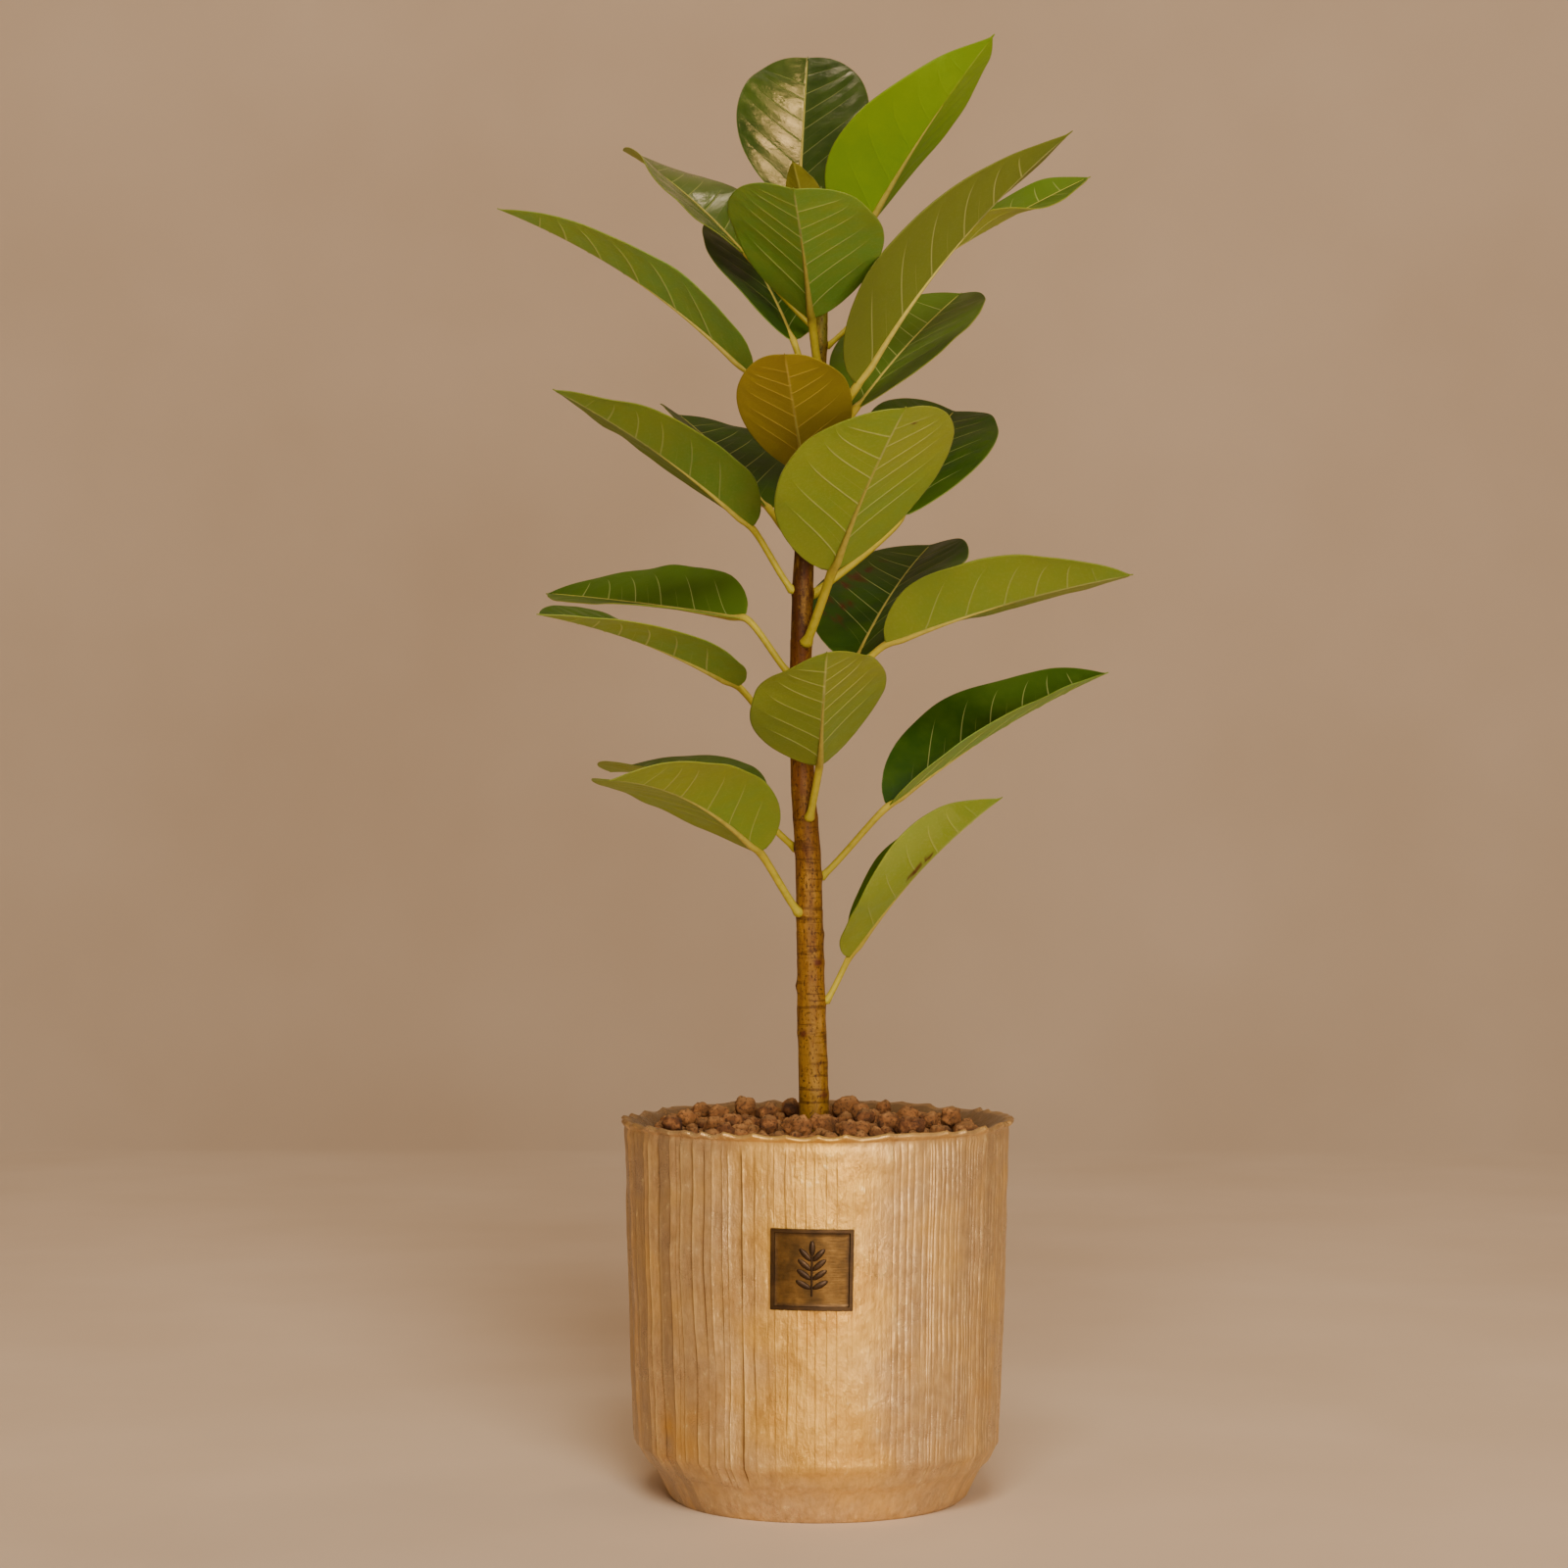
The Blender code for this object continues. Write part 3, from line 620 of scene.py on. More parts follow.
def carve_pot(points):
    """Gives the turned pot its lapped strips, its pinched lip and its uneven foot. Returns
    the new points and, from 0 to 1: painted shade, deepest in the creases, where the glaze also
    pooled, and on the sides of the lip; painted highlight on a strip's raised edge and the
    front of the lip; how ochre; its strip's own colour, with painted shade on the sides, the
    left and the foot; a richer gold painted where the light falls on the front; and whether
    it is inside the pot, painted a plain darker grey-brown as shade."""
    radius = np.hypot(points[:, 0], points[:, 1])
    height = points[:, 2]
    outside = radius > outline_radius(height) - 3.5 * MM
    strip, across, angle, width = strips_at(np.arctan2(points[:, 1], points[:, 0]) % math.tau)
    count = strip.max() + 1
    turn = angle / math.tau
    from_front = np.degrees((angle - FRONT + math.pi) % math.tau - math.pi)
    ragged = drift(turn * 36, height / (16 * MM), 36, 11) * 6
    smooth = ease(-24, -15, from_front + ragged) * (1 - ease(17, 27, from_front + ragged))

    # How much each strip laps over the last: less on narrow ones and on the smooth front,
    # with breaks, and nothing on the foot and under the lip.
    random = np.random.default_rng(7)
    lap = random.uniform(0.45, 1.0, count)[strip] * np.clip(width / WIDE_STRIP, 0.45, 1.15)
    lap *= 0.15 + 0.85 * ease(-0.8, 0.1, drift(strip, height / (34 * MM), count, 9))
    lap *= 1 - 0.75 * smooth
    lowest = LAPS_FROM_FOOT + 5 * drift(turn * 60, 0, 60, 12) * MM
    highest = POT_HEIGHT - LAPS_FROM_RIM - 4 * drift(turn * 50, 0, 50, 13) * MM
    lap *= ease(lowest - 3 * MM, lowest + 5 * MM, height)
    lap *= 1 - ease(highest - 4 * MM, highest + 2 * MM, height)
    tilt = random.uniform(-1, 1, count)[strip] * lap * 0.5 * MM

    # On the right of the front the strips are parted by scored grooves instead of laps.
    raised_edge = np.exp(-across * width / (0.8 * MM))
    lapped = LAP * lap * (0.30 * raised_edge + 0.80 * (1 - across) - 0.35) + tilt * (across - 0.5)
    from_joint = np.minimum(across, 1 - across) * width
    groove = lap * np.exp(-((from_joint / (0.45 * MM)) ** 2))
    scored = ease(10, 30, from_front) * (1 - ease(120, 150, from_front))
    relief = lapped * (1 - scored) - LAP * groove * scored

    dents = hand_dents(turn, height)
    near_lip, lip_out, lip_up = pinched_lip(angle, height)
    undercut = 0.5 * MM * np.exp(-(((height - POT_HEIGHT + 4.8 * MM) / (1.6 * MM)) ** 2))
    step = dents + relief + foot_overhang(turn, height) - undercut + lip_out
    step = np.where(outside, step, lip_out * 0.5 + dents * 0.6) * ease(0.0, 3 * MM, height)
    reach = radius + step
    moved = angle + sideways_sway(angle, height) / POT_RIM_RADIUS
    moved_points = np.column_stack((reach * np.cos(moved), reach * np.sin(moved), height + lip_up))

    # Painted shade: each strip's own colour turns greyer on the sides, the left and low on the foot.
    left = ease(20, 60, -from_front)
    strip_tone_and_shade = random.uniform(0.1, 1, count)[strip] * (1 - 0.85 * smooth)
    strip_tone_and_shade *= (0.55 + 0.45 * left) * (0.25 + 0.75 * ease(18, 48, np.abs(from_front)))
    strip_tone_and_shade = np.maximum(strip_tone_and_shade, (0.10 + 0.35 * left) * (1 - ease(20 * MM, 30 * MM, height)))
    # Painted light: a richer gold where the light falls on the front.
    lit_front_gold = (1 - ease(6, 34, np.abs(from_front + 1.5 * ragged))) * ease(18 * MM, 32 * MM, height)
    aside = np.clip(np.abs(from_front) / 90, 0, 1)
    on_lip = ease(POT_HEIGHT - 2.2 * MM, POT_HEIGHT - 0.6 * MM, height)
    # Painted shade, dark in the creases, where the glaze also pooled, on the sides of the lip and inside.
    hollow = ((0.0, 0.35), (0.05, 0.0), (0.70, 0.0), (0.86, 0.35), (0.965, 1.0), (1.0, 1.0))
    crease_pool_and_shade = lap * between(hollow, across)[0] * (1 - scored) + groove * scored
    crease_pool_and_shade = np.where(outside, np.maximum(crease_pool_and_shade, 0.45 * aside * on_lip), 0.45)
    # Painted highlight on a strip's raised edge and on the front of the lip, which faces the light.
    ridge = ((0.0, 0.6), (0.05, 1.0), (0.14, 0.5), (0.34, 0.0), (1.0, 0.0))
    crest_highlight = lap * between(ridge, across)[0] * (1 - scored)
    crest_highlight = np.maximum(crest_highlight, (1 - aside) * on_lip)
    glazed = {"crest_highlight": crest_highlight, "ochre": ochre_patches(turn, height, near_lip), "strip_tone_and_shade": strip_tone_and_shade, "lit_front_gold": lit_front_gold}
    marked = {name: values * outside for name, values in glazed.items()}
    # Painted shade: the inside is painted a plain darker grey-brown.
    marked |= {"crease_pool_and_shade": crease_pool_and_shade, "inside_shade": ~outside}
    return moved_points, {name: np.clip(values, 0, 1) for name, values in marked.items()}


def make_pot():
    """Turned as a plain pot from a circle, then carved."""
    columns = (len(strip_edges()) - 1) * len(STRIP_COLUMNS)
    deselect()
    bpy.ops.mesh.primitive_circle_add(vertices=columns, radius=POT_OUTLINE[0][1], fill_type="NGON")
    pot = bpy.context.object
    inner = [(POT_HEIGHT - 1.2 * MM, POT_RIM_RADIUS - LIP_THICKNESS)]
    inner += [(h, float(outline_radius(h)) - POT_WALL) for h in INNER_HEIGHTS]

    bpy.ops.object.mode_set(mode="EDIT")
    radius, height = POT_OUTLINE[0][1], 0.0
    for next_height, next_radius in [*POT_OUTLINE[1:], *inner]:
        bpy.ops.mesh.extrude_region_move(TRANSFORM_OT_translate={"value": (0, 0, next_height - height)})
        scale = next_radius / radius
        bpy.ops.transform.resize(value=(scale, scale, 1), center_override=(0, 0, next_height))
        radius, height = next_radius, next_height

    mesh = bmesh.from_edit_mesh(pot.data)
    for (low, _), (high, _), count in zip(POT_OUTLINE, POT_OUTLINE[1:], ROWS_CUT):
        for edge in mesh.edges:
            ends = sorted(v.co.z for v in edge.verts)
            outer = all(math.hypot(v.co.x, v.co.y) > outline_radius(v.co.z) - 4 * MM for v in edge.verts)
            edge.select_set(abs(ends[0] - low) < 1e-6 and abs(ends[1] - high) < 1e-6 and outer)
        bmesh.update_edit_mesh(pot.data)
        bpy.ops.mesh.subdivide(number_cuts=count)
        mesh = bmesh.from_edit_mesh(pot.data)
    bpy.ops.object.mode_set(mode="OBJECT")

    points, marks = carve_pot(places(pot))
    set_places(pot, points)
    for name, values in marks.items():
        set_attribute(pot, name, values)
    pot.data.materials.append(lustre_glaze())
    pot.data.shade_smooth()
    pot.name = pot.data.name = "carved_pot"
    finish_piece(pot, ["pot"])


# --- Plaque ------------------------------------------------------------------------------

# The raised sprig: height of each pair of leaflets on its stalk in mm, and their lean in degrees.
SPRIG_LEAFLETS = ((-9.5, 62), (-5.0, 55), (-0.5, 50), (4.0, 44))
LEAFLET_RADII = (1.5 * MM, 4.2 * MM, 0.55 * MM)
END_LEAFLET_RADII = (1.5 * MM, 3.9 * MM, 0.55 * MM)
LEAFLET_REACH = 4.6 * MM  # from the stalk to a leaflet's middle
PLAQUE_TILT = -0.8
FIELD_SUNK = 0.8 * MM  # how deep the plaque's field lies inside its border


def bend_to_wall(obj):
    """Takes a flat relief, drawn with X to the right, Y up and Z out, on to the pot's wall."""
    flat = places(obj)
    tilt = math.radians(PLAQUE_TILT)
    across = flat[:, 0] * math.cos(tilt) - flat[:, 1] * math.sin(tilt)
    up = flat[:, 0] * math.sin(tilt) + flat[:, 1] * math.cos(tilt)
    height = PLAQUE_MIDDLE_HEIGHT + up
    radius = outline_radius(height) + 0.0004 + flat[:, 2]
    angle = (PLAQUE_SIDEWAYS + across) / float(outline_radius(PLAQUE_MIDDLE_HEIGHT))
    set_places(obj, np.column_stack((radius * np.sin(angle), -radius * np.cos(angle), height)))


def leaflet(radii, angle, place):
    deselect()
    bpy.ops.mesh.primitive_uv_sphere_add(segments=20, ring_count=10, radius=1, location=place)
    bpy.context.object.scale = radii
    bpy.context.object.rotation_euler = (0, 0, angle)
    return bpy.context.object


def make_plaque():
    deselect()
    bpy.ops.mesh.primitive_cube_add(size=1, location=(0, 0, PLAQUE_THICKNESS / 2))
    plate = bpy.context.object
    plate.scale = (PLAQUE_SIDE, PLAQUE_SIDE, PLAQUE_THICKNESS)
    bpy.ops.object.transform_apply(location=True, rotation=True, scale=True)
    bpy.ops.object.mode_set(mode="EDIT")
    mesh = bmesh.from_edit_mesh(plate.data)
    for face in mesh.faces:
        face.select_set(face.normal.z > 0.9)
    bmesh.update_edit_mesh(plate.data)
    bpy.ops.mesh.inset(thickness=PLAQUE_BORDER)
    bpy.ops.mesh.extrude_region_move(TRANSFORM_OT_translate={"value": (0, 0, -FIELD_SUNK)})
    bpy.ops.transform.resize(value=(0.985, 0.985, 1))
    bpy.ops.mesh.select_all(action="SELECT")
    bpy.ops.mesh.subdivide(number_cuts=17)
    bpy.ops.object.mode_set(mode="OBJECT")
    edge = plate.modifiers.new("soft_edges", "BEVEL")
    edge.width = 0.0003
    edge.segments = 2
    edge.limit_method = "ANGLE"

    parts = [plate]
    field = PLAQUE_THICKNESS - FIELD_SUNK
    leaflets = [(h * MM, math.radians(-side * lean)) for h, lean in SPRIG_LEAFLETS for side in (-1, 1)]
    for height, angle in leaflets:
        across, up = -math.sin(angle) * LEAFLET_REACH, math.cos(angle) * LEAFLET_REACH
        parts.append(leaflet(LEAFLET_RADII, angle, (across, height + up, field)))
    parts.append(leaflet(END_LEAFLET_RADII, 0, (0, 10.5 * MM, field)))
    deselect()
    stalk_place = (0, -1.5 * MM, field)
    bpy.ops.mesh.primitive_cylinder_add(vertices=12, radius=0.55 * MM, depth=23 * MM, location=stalk_place)
    bpy.context.object.rotation_euler = (math.pi / 2, 0, 0)
    parts.append(bpy.context.object)
    for part in parts:
        apply_all(part)
    motif_start = len(plate.data.vertices)
    plaque = join(parts, "brass_plaque")

    flat = places(plaque)
    frame_inner = PLAQUE_SIDE / 2 - PLAQUE_BORDER
    on_frame = np.maximum(np.abs(flat[:, 0]), np.abs(flat[:, 1])) > frame_inner - 0.0005
    oxide = np.where(on_frame, 0.6, 0.0)
    oxide[motif_start:] = 0.75
    set_attribute(plaque, "oxide", oxide)
    bend_to_wall(plaque)
    plaque.data.materials.append(patinated_brass())
    only(plaque)
    bpy.ops.object.shade_smooth_by_angle(angle=math.radians(35))
    finish_piece(plaque, ["plaque"])


# --- Clay pebbles ------------------------------------------------------------------------

PEBBLE_MASTERS = 6
MASTER_RADIUS = 6.6 * MM
SMALLEST_RADII = (4.6 * MM, 3.2 * MM)  # in the first pour, and in the second that fills its gaps
MISSES_ALLOWED = 45  # pebbles that find no room before a pour ends
PLACES_TRIED = 70
NESTLING = 0.93  # how high a pebble lies on one below it, beside the sum of their radii
OVERLAP_WITH_LOOSE = 0.84
BED_FLOOR = POT_HEIGHT - 15 * MM
SEEN_BELOW_RIM = 7 * MM  # pebbles whose middle lies deeper than this are hardly seen
LOOSE_SUNK = 2.0 * MM  # the loose pebbles settle in between those below


def pebble_master(k, subdivisions, mat):
    """A puffed clay ball one metre across, for the pebbles to be copied from: a round lump,
    displaced by broad swellings and by small pores."""
    deselect()
    place = (k * 0.1, 0, 0)
    bpy.ops.mesh.primitive_ico_sphere_add(subdivisions=subdivisions, radius=MASTER_RADIUS, location=place)
    ball = bpy.context.object
    ball.scale = (1.0, 0.90, 0.84)
    apply_all(ball)
    for name, size, depth in (("swellings", 8.0, 5.5), ("lumps", 2.8, 2.0), ("pores", 1.2, 0.8)):
        texture = bpy.data.textures.new(f"clay_{name}", "CLOUDS")
        texture.noise_scale = size * MM
        texture.noise_depth = 2
        displace = ball.modifiers.new(name, "DISPLACE")
        displace.texture = texture
        displace.texture_coords = "LOCAL"
        displace.strength = depth * MM
        displace.mid_level = 0.5
    for modifier in list(ball.modifiers):
        bpy.ops.object.modifier_apply(modifier=modifier.name)
    points = places(ball)
    points -= points.mean(0)
    set_places(ball, points / (points.max(0) - points.min(0)).mean())
    ball.data.materials.append(mat)
    ball.data.shade_smooth()
    return ball


def fill_bed(loose, random):
    """Pours pebbles into the pot round the loose ones; each takes the lowest of many places."""
    foot = np.array((STEM_PATH[0][1] * MM, 0.0))
    placed = []
    misses = 0
    while misses < 2 * MISSES_ALLOWED:
        smallest = SMALLEST_RADII[misses // MISSES_ALLOWED]
        radius = random.uniform(smallest, smallest * 1.5)
        furthest = float(outline_radius(POT_HEIGHT - 10 * MM)) - POT_WALL - radius - 0.6 * MM
        nearest = STEM_BASE_DIAMETER / 2 + radius + 0.3 * MM
        best = None
        for _ in range(PLACES_TRIED):
            reach = math.sqrt(random.uniform(0, 1)) * furthest
            angle = random.uniform(0, math.tau)
            spot = np.array((math.cos(angle), math.sin(angle))) * reach
            if np.linalg.norm(spot - foot) < nearest:
                continue
            level = BED_FLOOR + radius
            for x, y, z, r in placed:
                away = (x - spot[0]) ** 2 + (y - spot[1]) ** 2
                if away < (r + radius) ** 2:
                    level = max(level, z + NESTLING * math.sqrt((r + radius) ** 2 - away))
            if level + radius > POT_HEIGHT:
                continue
            middle = np.array((*spot, level))
            if any(np.linalg.norm(middle - m) < OVERLAP_WITH_LOOSE * (r + radius) for m, r in loose):
                continue
            if best is None or level < best[2]:
                best = (*spot, level, radius)
        if best is None:
            misses += 1
        else:
            placed.append(best)
    return placed


def pebbles_object(name, pebbles, masters, random):
    """Copies of the master balls, each turned any way round, as one object. A pebble is its
    middle and its radius."""
    copies = []
    for middle, radius in pebbles:
        depth = "seen" if middle[2] > POT_HEIGHT - SEEN_BELOW_RIM else "hidden"
        master = masters[depth][random.integers(PEBBLE_MASTERS)]
        pebble = master.copy()
        pebble.data = master.data.copy()
        bpy.context.scene.collection.objects.link(pebble)
        pebble.rotation_mode = "QUATERNION"
        pebble.rotation_quaternion = unit(random.normal(size=4))
        pebble.scale = [radius * 2] * 3
        pebble.location = middle
        apply_all(pebble)
        over_middle = places(pebble)[:, 2] - middle[2]
        # Painted light: how near the top of the pebble, where it is painted paler.
        set_attribute(pebble, "lit_crown", ease(0.2, 1.0, over_middle / radius))
        set_attribute(pebble, "shade", np.full(len(over_middle), random.uniform(0, 1)))
        copies.append(pebble)
    return join(copies, name)


def make_pebbles():
    clay = expanded_clay()
    masters = {
        depth: [pebble_master(k, subdivisions, clay) for k in range(PEBBLE_MASTERS)]
        for depth, subdivisions in (("seen", 4), ("hidden", 3))
    }
    random = np.random.default_rng(21)
    names = [f"clay_pebble_{k + 1:02d}" for k in range(LOOSE_PEBBLES)]
    loose = []
    for name in names:
        low, high = (np.array(corner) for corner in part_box(name))
        size = float((high - low).mean()) / 2 * random.uniform(0.85, 1.32)
        loose.append(((low + high) / 2 - UP * LOOSE_SUNK, size))
    bed = [(np.array((x, y, z)), r) for x, y, z, r in fill_bed(loose, random)]
    piece = pebbles_object("clay_pebbles_in_bed", bed, masters, random)
    finish_piece(piece, ["clay_pebble_bed"])
    for name, pebble in zip(names, loose):
        piece = pebbles_object(name.replace("clay_", "loose_clay_"), [pebble], masters, random)
        finish_piece(piece, [name])
    for master in masters["seen"] + masters["hidden"]:
        bpy.data.objects.remove(master, do_unlink=True)


# --- Stem and bud ------------------------------------------------------------------------

STEM_SIDES = 56
STEM_STEP = 1.6 * MM
# Share of the stem's height and heading of the knots that fallen leaves have left.
OLD_SCARS = ((0.025, -50), (0.060, 60), (0.094, -125), (0.120, 110), (0.147, 185), (0.174, -60), (0.205, 30))


def stem_middle(share):
    sideways = between(STEM_PATH, share)[0] * MM
    return np.stack((sideways, np.zeros_like(sideways), POT_HEIGHT + share * STEM_HEIGHT), -1)


def stem_radius(share):
    return between(STEM_PATH, share)[1] * STEM_BASE_DIAMETER / 2


def tube(rings, name, material, **numbers):
    """A closed tube through rings of equally many points: a disc drawn out ring by ring, each
    of whose points then goes to its place. Each of the numbers becomes an attribute."""
    count, sides = rings.shape[:2]
    deselect()
    bpy.ops.mesh.primitive_circle_add(vertices=sides, radius=1, fill_type="NGON")
    obj = bpy.context.object
    bpy.ops.object.mode_set(mode="EDIT")
    for _ in range(count - 1):
        bpy.ops.mesh.extrude_region_move(TRANSFORM_OT_translate={"value": (0, 0, 1)})
    bpy.ops.object.mode_set(mode="OBJECT")
    x, y, z = places(obj).T
    ring = np.rint(z).astype(int)
    side = np.rint(np.arctan2(-x, y) / math.tau * sides).astype(int) % sides
    set_places(obj, rings[ring, side])
    for key, values in numbers.items():
        set_attribute(obj, key, np.broadcast_to(values, (count, sides))[ring, side])
    obj.data.materials.append(material)
    obj.data.shade_smooth()
    obj.name = obj.data.name = name
    return obj


def make_stem():
    """A tube along the stem's path, swollen at each leaf and ringed with old leaf scars."""
    foot = -STEM_BURIED / STEM_HEIGHT
    share = np.arange(foot, 1.0, STEM_STEP / STEM_HEIGHT)
    share[-1] = 1.0
    height = share * STEM_HEIGHT
    window = np.hanning(15) / np.hanning(15).sum()  # rounds off the corners of the path
    sideways, thickness = between(STEM_PATH, np.maximum(share, 0))
    sideways = np.convolve(np.pad(sideways * MM, 7, mode="edge"), window, "valid")
    radius = thickness * STEM_BASE_DIAMETER / 2

    turn = np.arange(STEM_SIDES) / STEM_SIDES
    relief = np.zeros((len(share), STEM_SIDES))
    scar = np.zeros_like(relief)
    # A swelling, stronger on the leaf's side, and a ring at each leaf, grown or fallen.
    nodes = [(row[0], row[1], 1.0) for row in LEAVES[:-1]] + [(s, a, 0.7) for s, a in OLD_SCARS]
    for node, heading, strength in nodes:
        away = (height - node * STEM_HEIGHT)[:, None]
        facing = np.cos(turn * math.tau - math.radians(heading))[None, :]
        relief += strength * 0.45 * MM * np.exp(-((away / (3.2 * MM)) ** 2)) * (0.55 + 0.45 * facing)
        relief += strength * 0.55 * MM * np.exp(-((away / (2.2 * MM)) ** 2)) * np.clip(facing, 0, 1) ** 3
        line = np.exp(-(((away - 2.4 * MM) / (0.55 * MM)) ** 2))
        relief -= strength * 0.22 * MM * line
        scar = np.maximum(scar, strength * line * (0.6 + 0.4 * facing))
    # The knot on the side where each fallen leaf was.
    knot = np.zeros_like(relief)
    for node, heading in OLD_SCARS:
        away = (height - node * STEM_HEIGHT)[:, None] / (2.4 * MM)
        around = (turn * math.tau - math.radians(heading) + math.pi) % math.tau - math.pi
        spot = np.exp(-(away**2) - (around * radius[:, None] / (2.8 * MM)) ** 2)
        knot = np.maximum(knot, spot)
        relief += 0.35 * MM * spot
    # Uneven bark, smoother on the young wood at the top.
    rough_part = 1 - 0.75 * ease(0.35, 0.85, share)[:, None]
    relief += 0.16 * MM * rough_part * drift(turn[None, :] * 18, height[:, None] / (16 * MM) + 9, 18, 31)
    relief += 0.10 * MM * rough_part * drift(turn[None, :] * 36, height[:, None] / (5 * MM) + 40, 36, 32)
    relief *= (0.35 + 0.65 * radius / radius[0])[:, None]

    reach = radius[:, None] - 0.12 * MM + relief
    rings = np.stack(
        (
            sideways[:, None] + reach * np.cos(turn * math.tau),
            reach * np.sin(turn * math.tau),
            np.repeat((POT_HEIGHT + height)[:, None], STEM_SIDES, 1),
        ),
        -1,
    )
    knot = ease(0.25, 0.8, knot) * 0.85
    height = np.clip(share, 0, 1)[:, None]
    stem = tube(rings, "ringed_stem", ficus_bark(), height=height, scar=scar, knot=knot)
    finish_piece(stem, ["stem"])


def make_bud():
    """A pointed cone, drawn out and twisted like the rolled sheath that it is."""
    low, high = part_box("terminal_bud")
    middle = (low + high) / 2
    length = high.z - low.z
    deselect()
    bpy.ops.mesh.primitive_cone_add(
        vertices=32, radius1=(high.x - low.x) / 2, radius2=0.0002, depth=length, location=middle
    )
    bud = bpy.context.object
    apply_all(bud)
    bpy.ops.object.mode_set(mode="EDIT")
    mesh = bmesh.from_edit_mesh(bud.data)
    for edge in mesh.edges:
        edge.select_set(abs(edge.verts[0].co.z - edge.verts[1].co.z) > length / 2)
    bmesh.update_edit_mesh(bud.data)
    bpy.ops.mesh.subdivide(number_cuts=36)
    bpy.ops.object.mode_set(mode="OBJECT")
    points = places(bud)
    share = (points[:, 2] - low.z) / length
    swell = between(((0, 0.8), (0.15, 1.0), (0.45, 0.86), (0.75, 0.50), (0.93, 0.20), (1.0, 0.05)), share)[0]
    angle = np.arctan2(points[:, 1] - middle.y, points[:, 0] - middle.x)
    seam = (angle / math.tau - share * 0.45) % 1.0
    rolled = swell * (high.x - low.x) / 2 * (0.94 + 0.09 * seam)
    points[:, 0] = middle.x + rolled * np.cos(angle)
    points[:, 1] = middle.y + rolled * np.sin(angle)
    set_places(bud, points)
    bud.data.materials.append(bud_sheath())
    only(bud)
    bpy.ops.object.shade_smooth_by_angle(angle=math.radians(50))
    bud.name = bud.data.name = "rolled_bud"
    finish_piece(bud, ["terminal_bud"])


# --- Leaves ------------------------------------------------------------------------------

# Mesh columns from the midrib to the margin, closer together at both.
COLUMNS = np.array(
    (0, 0.018, 0.038, 0.065, 0.10, 0.15, 0.21, 0.28, 0.36, 0.45, 0.54, 0.63, 0.72, 0.80, 0.87, 0.93, 0.975, 1)
)
VEIN_SPACING = 0.150  # as a share of the blade's length
VEIN_GAPS = np.array((1, 1.06, 1.06, 1.04, 1.0, 0.97, 0.93, 0.89))  # each beside the usual spacing
VEIN_LEAN = 0.58  # how far a side vein runs forward, beside the blade's width over its length
VEIN_SLOPE = math.sin(math.radians(41))
VEIN_HALF_WIDTH = 0.27 * MM
VEIN_HEIGHT = 0.16 * MM
QUILTING = 0.24 * MM  # how far the blade swells between two side veins
CREASE = 1.4 * MM  # how wide the fold along the midrib is
ROW_STEP = 0.022
LEAF_SKIN = 0.5 * MM
RIB_SIDES = 14


def bezier(points, t):
    a, b, c, d = points
    t = np.asarray(t, float)[..., None]
    s = 1 - t
    return a * s**3 + b * 3 * s * s * t + c * 3 * s * t * t + d * t**3


def bezier_direction(points, t):
    a, b, c, d = points
    t = np.asarray(t, float)[..., None]
    s = 1 - t
    return unit((b - a) * s * s + (c - b) * 2 * s * t + (d - c) * t * t)


def direction(heading, rise):
    heading, rise = math.radians(heading), math.radians(rise)
    flat = math.cos(rise)
    return np.array((math.cos(heading) * flat, math.sin(heading) * flat, math.sin(rise)))


def crosswise(along, roll):
    """The sideways and upward directions of a leaf at points of its midrib."""
    up = unit(UP - along * along[..., 2:3])
    side = np.cross(along, up)
    turn = np.radians(roll)[..., None]
    return side * np.cos(turn) - up * np.sin(turn), up * np.cos(turn) + side * np.sin(turn)


def half_width(share, taper):
    """Half the blade's width at a share of its length, as a share of its widest half."""
    fullest = OUTLINE_START / (OUTLINE_START + taper)
    most = fullest**OUTLINE_START * (1 - fullest) ** taper
    along = np.clip(share / OUTLINE_OVAL, 0, 1)
    oval = along**OUTLINE_START * (1 - along) ** taper / most
    tip = DRIP_TIP_WIDTH * np.clip((1 - share) / DRIP_TIP_LENGTH, 0, 1) ** 0.7
    return np.where(share > 0.5, np.maximum(oval, tip), oval)


def leaf_lines(row):
    """The centre lines of the petiole and of the blade's midrib, as two curves."""
    node, stalk_heading, stalk_rise, stalk_length, heading, rise, length = row[:7]
    arch = row[8]
    stalk_length, length = stalk_length * MM, length * MM
    outward = direction(stalk_heading, 0)
    start = stem_middle(np.array(node)) + outward * (stem_radius(np.array(node)) + PETIOLE_GAP)
    base = start + direction(stalk_heading, stalk_rise) * stalk_length
    along = direction(heading, rise)
    lift = unit(UP - along * along[2]) * arch * length
    third = along * length / 3
    blade = (base, base + third + lift, base + third * 2 + lift, base + third * 3)
    leaving = direction(stalk_heading, stalk_rise * 0.85)
    arriving = bezier_direction(blade, np.array(0.0))
    stalk = (start, start + leaving * stalk_length * 0.25, base - arriving * stalk_length * 0.20, base)
    return stalk, blade, outward


def vein_starts(random, shift):
    """Where the side veins of one half leave the midrib, as shares of its length."""
    starts = 0.012 + shift * 0.3 + np.arange(8) * VEIN_SPACING * VEIN_GAPS
    stray = random.uniform(-0.012, 0.012, len(starts)) * (starts > 0.1)
    return np.clip(starts + shift + stray, 0.008, 0.97)


